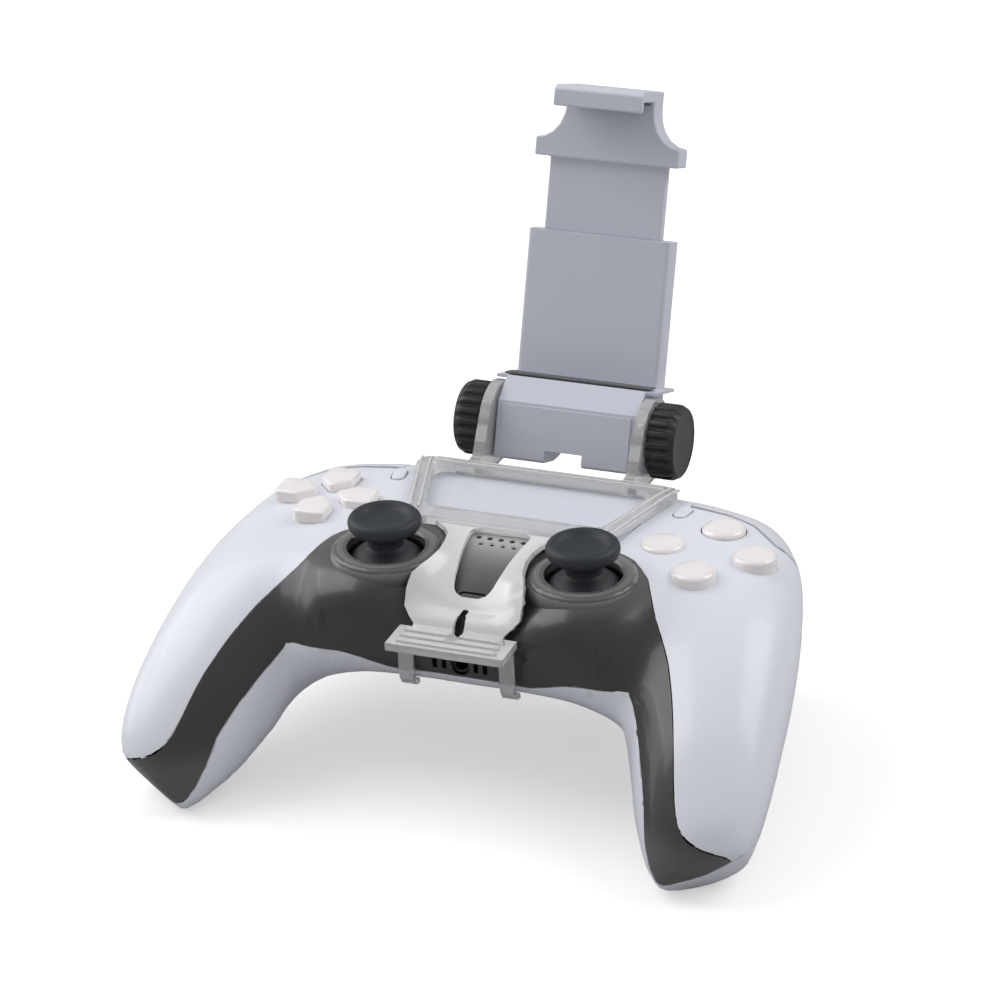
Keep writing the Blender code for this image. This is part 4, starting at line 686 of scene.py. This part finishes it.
def directionKeys():
    inner, outer, half = cluster["keyInner"], cluster["keyOuter"], cluster["keyHalf"]
    widest = inner + half
    points = [(inner, 0), (widest, -half), (outer, -half), (outer, half), (widest, half)]
    outline = roundedCorners(points, cluster["keyCorners"], cluster["cornerSteps"])
    floor = cluster["surface"] - cluster["depth"]
    top = cluster["surface"] + cluster["keyRise"]
    for i, node in enumerate(("key_right", "key_up", "key_left", "key_down")):
        shape = raisedShape(outline, floor, top, cluster["keyRounding"], cluster["roundingSteps"])
        turn = Matrix.Rotation(math.pi / 2 * i, 3, "Z")
        bmesh.ops.rotate(shape, verts=shape.verts, cent=(0, 0, 0), matrix=turn)
        bmesh.ops.translate(shape, verts=shape.verts, vec=(-cluster["x"], cluster["keyY"], 0))
        mesh = meshFrom(placed(shape), node, sharpFrom["moulded"])
        standFor(addPiece(f"{node}_finished", mesh, "button", node), node)


roundButtons()
directionKeys()
print("buttons done")

# Clamping knobs, in millimetres. Each stage is a ring: place along the axis, change of radius,
# and how deep the valleys between the teeth are there.
knob = {"y": 51.4, "z": 5.8, "start": 22.3, "radius": 9.7, "depth": 0.9, "teeth": 20,
        "perTooth": 12, "steepness": 2.6, "fullness": 0.7, "bore": 2.8, "boreDepth": 4.5,
        "stages": [(0.0, -0.5, 0.4), (0.35, -0.1, 1.0), (0.7, 0.0, 1.0), (4.6, 0.0, 1.0),
                   (5.2, 0.0, 0.9), (5.7, -0.15, 0.6), (6.2, -0.45, 0.25), (6.9, -0.75, 0.0),
                   (7.3, -1.3, 0.0), (7.2, -1.7, 0.0), (7.15, -4.5, 0.0)]}


def newParts(made, kind):
    return [item for item in made["geom"] if isinstance(item, kind)]


def toothValley(angle, share):  # how far the rim lies below the tip of a tooth
    wave = math.tanh(knob["steepness"] * math.cos(angle * knob["teeth"]) + knob["fullness"])
    return knob["depth"] * share * (0.5 - 0.5 * wave / math.tanh(knob["steepness"] + knob["fullness"]))


def knobShape(side):
    shape = bmesh.new()
    count = knob["teeth"] * knob["perTooth"]
    ring = bmesh.ops.create_circle(shape, segments=count, radius=1.0)["verts"]
    edges = shape.edges[:]
    for i, (along, grow, tooth) in enumerate(knob["stages"]):
        if i:
            made = bmesh.ops.extrude_edge_only(shape, edges=edges)
            ring = newParts(made, bmesh.types.BMVert)
            edges = newParts(made, bmesh.types.BMEdge)
        for v in ring:
            angle = math.atan2(v.co.z, v.co.y) if i else math.atan2(v.co.y, v.co.x)
            radius = knob["radius"] + grow - toothValley(angle, tooth)
            v.co = (along, radius * math.cos(angle), radius * math.sin(angle))
    bmesh.ops.contextual_create(shape, geom=edges)
    lower = [v for v in shape.verts if v.co.x == 0.0]
    back = [e for e in shape.edges if all(v in lower for v in e.verts)]
    made = bmesh.ops.extrude_edge_only(shape, edges=back)
    for v in newParts(made, bmesh.types.BMVert):
        angle = math.atan2(v.co.z, v.co.y)
        v.co = (0.0, knob["bore"] * math.cos(angle), knob["bore"] * math.sin(angle))
    made = bmesh.ops.extrude_edge_only(shape, edges=newParts(made, bmesh.types.BMEdge))
    for v in newParts(made, bmesh.types.BMVert):
        v.co.x = knob["boreDepth"]
    bmesh.ops.contextual_create(shape, geom=newParts(made, bmesh.types.BMEdge))
    bmesh.ops.transform(shape, verts=shape.verts, matrix=Matrix.Scale(side, 4, (1, 0, 0)))
    start = (side * knob["start"], knob["y"], knob["z"])
    bmesh.ops.translate(shape, verts=shape.verts, vec=start)
    placed(shape)
    bmesh.ops.recalc_face_normals(shape, faces=shape.faces)
    return shape


for sideName, side in sides.items():
    node = f"knob_{sideName}"
    mesh = meshFrom(knobShape(side), node, sharpFrom["moulded"])
    standFor(addPiece(f"{node}_finished", mesh, "knob", node), node)
print("knobs done")


def softened(node, finish, width, segments, angle=28.0):
    # a CAD solid with its flat faces made whole again and its edges rounded
    shape = nodeCopy(node)
    bmesh.ops.dissolve_limit(shape, angle_limit=math.radians(1.0), verts=shape.verts,
                             edges=shape.edges)
    mesh = meshFrom(shape, node, sharpFrom["softened"])
    piece = addPiece(f"{node}_finished", mesh, finish, node)
    modifier = piece.modifiers.new("soft edges", "BEVEL")
    modifier.width = width * mm
    modifier.segments = segments
    modifier.limit_method = "ANGLE"
    modifier.angle_limit = math.radians(angle)
    flatten = piece.modifiers.new("flat faces", "WEIGHTED_NORMAL")
    flatten.keep_sharp = True
    standFor(piece, node)


softened("clamp_body", "clamp", 0.45, 3)
softened("clamp_slider", "clamp", 0.45, 3)
# The sheet between the sticks, in millimetres: rows of y, half width and height of the edge
stem = {"rows": [(1.2, 17.6, 0.45), (-1.6, 14.6, 0.8), (-5.0, 12.5, 1.2), (-9.0, 11.9, 1.2),
                 (-13.0, 11.8, 1.0), (-17.0, 12.6, 0.8), (-20.0, 13.8, 0.4), (-22.6, 15.0, -0.4),
                 (-24.8, 15.4, -3.4), (-27.0, 15.0, -7.2), (-28.4, 13.2, -9.0),
                 (-29.4, 11.6, -10.4)],
        "edgeY": -27.5, "edgeZ": -8.8, "lift": 0.4, "lookFrom": 10, "saddle": 2.6,
        "wall": 1.2 * mm, "steps": 5, "columns": 40, "spacing": 1.8 * mm}


def stemMiddle(y, edge):  # height along the middle, on the body and then over its front edge
    start = facePlace + Vector((0, max(y, stem["edgeY"]), stem["lookFrom"])) * mm
    top = body.tree.ray_cast(start, Vector((0, 0, -1)))[0]
    height = max((top.z - facePlace.z) / mm, stem["edgeZ"]) + stem["lift"]
    return min(height, edge) if y < stem["edgeY"] else height


def stemGuide():
    rows = [(y, half, edge, stemMiddle(y, edge)) for y, half, edge in stem["rows"]]
    shape = bmesh.new()
    lines = []
    for y, half, edge, middle in smoothLine(rows, stem["steps"]):
        line = []
        for column in range(stem["columns"] + 1):
            share = column / stem["columns"] * 2 - 1
            z = middle + (edge - middle) * abs(share) ** stem["saddle"]
            if edge > middle:
                z = max(z, middle)
            line.append(shape.verts.new(Vector((share * half, y, z)) * mm + facePlace))
        lines.append(line)
    for first, second in zip(lines, lines[1:]):
        for i in range(stem["columns"]):
            shape.faces.new((first[i], second[i], second[i + 1], first[i + 1]))
    shape.normal_update()
    lower = shape.copy()
    for v in shape.verts:
        v.co += v.normal * stem["wall"]
    bmesh.ops.reverse_faces(lower, faces=lower.faces)
    underside = bpy.data.meshes.new("stem underside")
    lower.to_mesh(underside)
    lower.free()
    shape.from_mesh(underside)
    bpy.data.meshes.remove(underside)
    return Guide(shape)


# Raised milky lines on the frame, a painted highlight that stands in for the bright lines along the
# clear bars. In millimetres: two along each side bar and two along the rear bar.
# The section is half widths and heights; the underside of the frame is y and height.
ridge = {"half": 0.32, "steps": 12, "apart": 1.15, "side": [(25.3, 5.2), (33.2, 33.6)],
         "rearY": (32.2, 34.3), "rearHalf": 30.5, "frameWall": 2.3,
         "section": [(-1, -0.3), (-1, 0.209), (-0.4, 0.38), (0.4, 0.38), (1, 0.209), (1, -0.3)],
         "underside": [(0, 0.35), (28, 0.3), (31, 0.1), (34, -0.4), (35.5, -1.0)]}


def frameTop(y):
    line = ridge["underside"]
    for (startY, start), (endY, end) in zip(line, line[1:]):
        if y <= endY:
            return ridge["frameWall"] + start + (end - start) * (y - startY) / (endY - startY)
    return ridge["frameWall"] + line[-1][1]


def addRidge(name, start, end):
    start, end = Vector(start), Vector(end)
    aside = (end - start).normalized().orthogonal() * ridge["half"]
    spots = [start.lerp(end, i / ridge["steps"]) for i in range(ridge["steps"] + 1)]
    spots = [Vector((x, y, frameTop(y))) for x, y in spots]
    shape = bmesh.new()
    ring = []
    for share, height in ridge["section"]:
        ring.append(shape.verts.new(spots[0] + Vector((*(aside * share), height))))
    edges = [shape.edges.new(pair) for pair in zip(ring, ring[1:] + ring[:1])]
    bmesh.ops.contextual_create(shape, geom=edges)
    for before, after in zip(spots, spots[1:]):
        made = bmesh.ops.extrude_edge_only(shape, edges=edges)
        edges = newParts(made, bmesh.types.BMEdge)
        moved = newParts(made, bmesh.types.BMVert)
        bmesh.ops.translate(shape, verts=moved, vec=after - before)
    bmesh.ops.contextual_create(shape, geom=edges)
    placed(shape)
    bmesh.ops.recalc_face_normals(shape, faces=shape.faces)
    addPiece(name, meshFrom(shape, name, sharpFrom["ridge"]), "milky", "clip_bracket")


for sideName, side in sides.items():
    start, end = (Vector((side * x, y)) for x, y in ridge["side"])
    across = (start - end).normalized().orthogonal() * -ridge["apart"]
    addRidge(f"frame_ridge_inner_{sideName}", start + across, end + across)
    addRidge(f"frame_ridge_outer_{sideName}", start - across, end - across)
for i, y in enumerate(ridge["rearY"]):
    addRidge(f"frame_ridge_rear_{i}", (-ridge["rearHalf"], y), (ridge["rearHalf"], y))

skinPiece("clip_bracket", "clear", "clip_bracket_finished", stemGuide(), stem["spacing"])
softened("create_button", "shell", 0.3, 3)
softened("options_button", "shell", 0.3, 3)
softened("mute_button", "trim", 0.25, 2)
softened("lower_pad", "rubber", 0.12, 2)
softened("upper_pad", "rubber", 0.12, 2)
softened("trigger_right", "shoulder", 0.9, 4, 35.0)
softened("trigger_left", "shoulder", 0.9, 4, 35.0)
# CAD nodes that keep their shape and get a finish
kept = {"headset_jack": "knob", "usb_port": "steel", "hinge_bolt": "steel",
        "trigger_pin_right": "steel", "trigger_pin_left": "steel",
        "gimbal_ring_right": "knob", "gimbal_ring_left": "knob",
        "stick_post_right": "knob", "stick_post_left": "knob"}
for node, finish in kept.items():
    materials = frame["nodes"][node].data.materials
    materials.clear()
    materials.append(finishes[finish])
print("clamp and bracket done")

# Stage, light and camera, in metres
stage = {"floorSize": 6.0, "floorSeen": (0.80, 0.79, 0.785), "floorBounce": (0.50, 0.50, 0.51),
         "floorRoughness": 0.9, "floorGloss": 0.1, "floorGlow": 0.42, "worldLevel": 0.45,
         "aim": (0, 0, 0.04),
         "lamps": {"key": {"at": (-0.80, 0.0, 0.90), "size": 0.9, "power": 6.4},
                   "left": {"at": (-1.0, 0.1, 0.30), "size": 0.6, "power": 1.8},
                   "right": {"at": (0.75, 0.45, 0.85), "size": 0.8, "power": 5.5}}}


def buildFloor():
    shape = bmesh.new()
    bmesh.ops.create_grid(shape, x_segments=1, y_segments=1, size=stage["floorSize"] / 2)
    mesh = bpy.data.meshes.new("floor")
    shape.to_mesh(mesh)
    shape.free()
    floor = bpy.data.objects.new("floor", mesh)
    bpy.context.scene.collection.objects.link(floor)
    look = Finish("pale floor", {"Roughness": stage["floorRoughness"],
                                 "Specular IOR Level": stage["floorGloss"],
                                 "Emission Strength": stage["floorGlow"]})
    seen = look.node("ShaderNodeLightPath")
    look.feed(Base_Color=look.blendColours(seen, stage["floorBounce"], stage["floorSeen"]),
              Emission_Color=look.blendColours(seen, (0.0, 0.0, 0.0), (1.0, 1.0, 1.0)))
    mesh.materials.append(look.material)


def buildWorld():  # white where the camera sees it, straight or through clear plastic
    world = bpy.data.worlds.new("studio")
    bpy.context.scene.world = world
    world.use_nodes = True
    nodes, links = world.node_tree.nodes, world.node_tree.links
    background = nodes["Background"]
    background.inputs["Color"].default_value = (1, 1, 1, 1)
    path = nodes.new("ShaderNodeLightPath")
    seen = nodes.new("ShaderNodeMath")
    seen.operation = "MAXIMUM"
    links.new(path.outputs["Is Camera Ray"], seen.inputs[0])
    links.new(path.outputs["Is Transmission Ray"], seen.inputs[1])
    level = nodes.new("ShaderNodeMapRange")
    level.inputs["To Min"].default_value = stage["worldLevel"]
    level.inputs["To Max"].default_value = 1.0
    links.new(seen.outputs[0], level.inputs["Value"])
    links.new(level.outputs[0], background.inputs["Strength"])


def buildLamps():
    for name, settings in stage["lamps"].items():
        lamp = bpy.data.lights.new(name, "AREA")
        lamp.size = settings["size"]
        lamp.energy = settings["power"]
        holder = bpy.data.objects.new(name, lamp)
        bpy.context.scene.collection.objects.link(holder)
        holder.location = settings["at"]
        aim = Vector(stage["aim"]) - holder.location
        holder.rotation_euler = aim.to_track_quat("-Z", "Y").to_euler()


# Where the camera is, in metres, and how it is turned, in degrees
camera = {"at": (0.3242228, -0.8094135, 0.494596), "yaw": 22.1943914, "pitch": 26.6089275,
          "roll": -2.6060213, "focalPixels": 3950.805, "pixels": 1000, "film": 36.0}


def buildCamera():
    yaw, pitch, roll = (math.radians(camera[k]) for k in ("yaw", "pitch", "roll"))
    level = math.cos(pitch)
    forward = Vector((-math.sin(yaw) * level, math.cos(yaw) * level, -math.sin(pitch)))
    flatRight = Vector((math.cos(yaw), math.sin(yaw), 0))
    flatUp = flatRight.cross(forward)
    right = math.cos(roll) * flatRight + math.sin(roll) * flatUp
    up = math.cos(roll) * flatUp - math.sin(roll) * flatRight
    data = bpy.data.cameras.new("camera")
    data.sensor_width = camera["film"]
    data.lens = camera["focalPixels"] / camera["pixels"] * camera["film"]
    holder = bpy.data.objects.new("camera", data)
    bpy.context.scene.collection.objects.link(holder)
    turn = Matrix((right, up, -forward)).transposed().to_4x4()
    holder.matrix_world = Matrix.Translation(camera["at"]) @ turn
    bpy.context.scene.camera = holder


buildFloor()
buildWorld()
buildLamps()
buildCamera()
bpy.context.scene.view_settings.view_transform = "Standard"
print("stage and camera done")
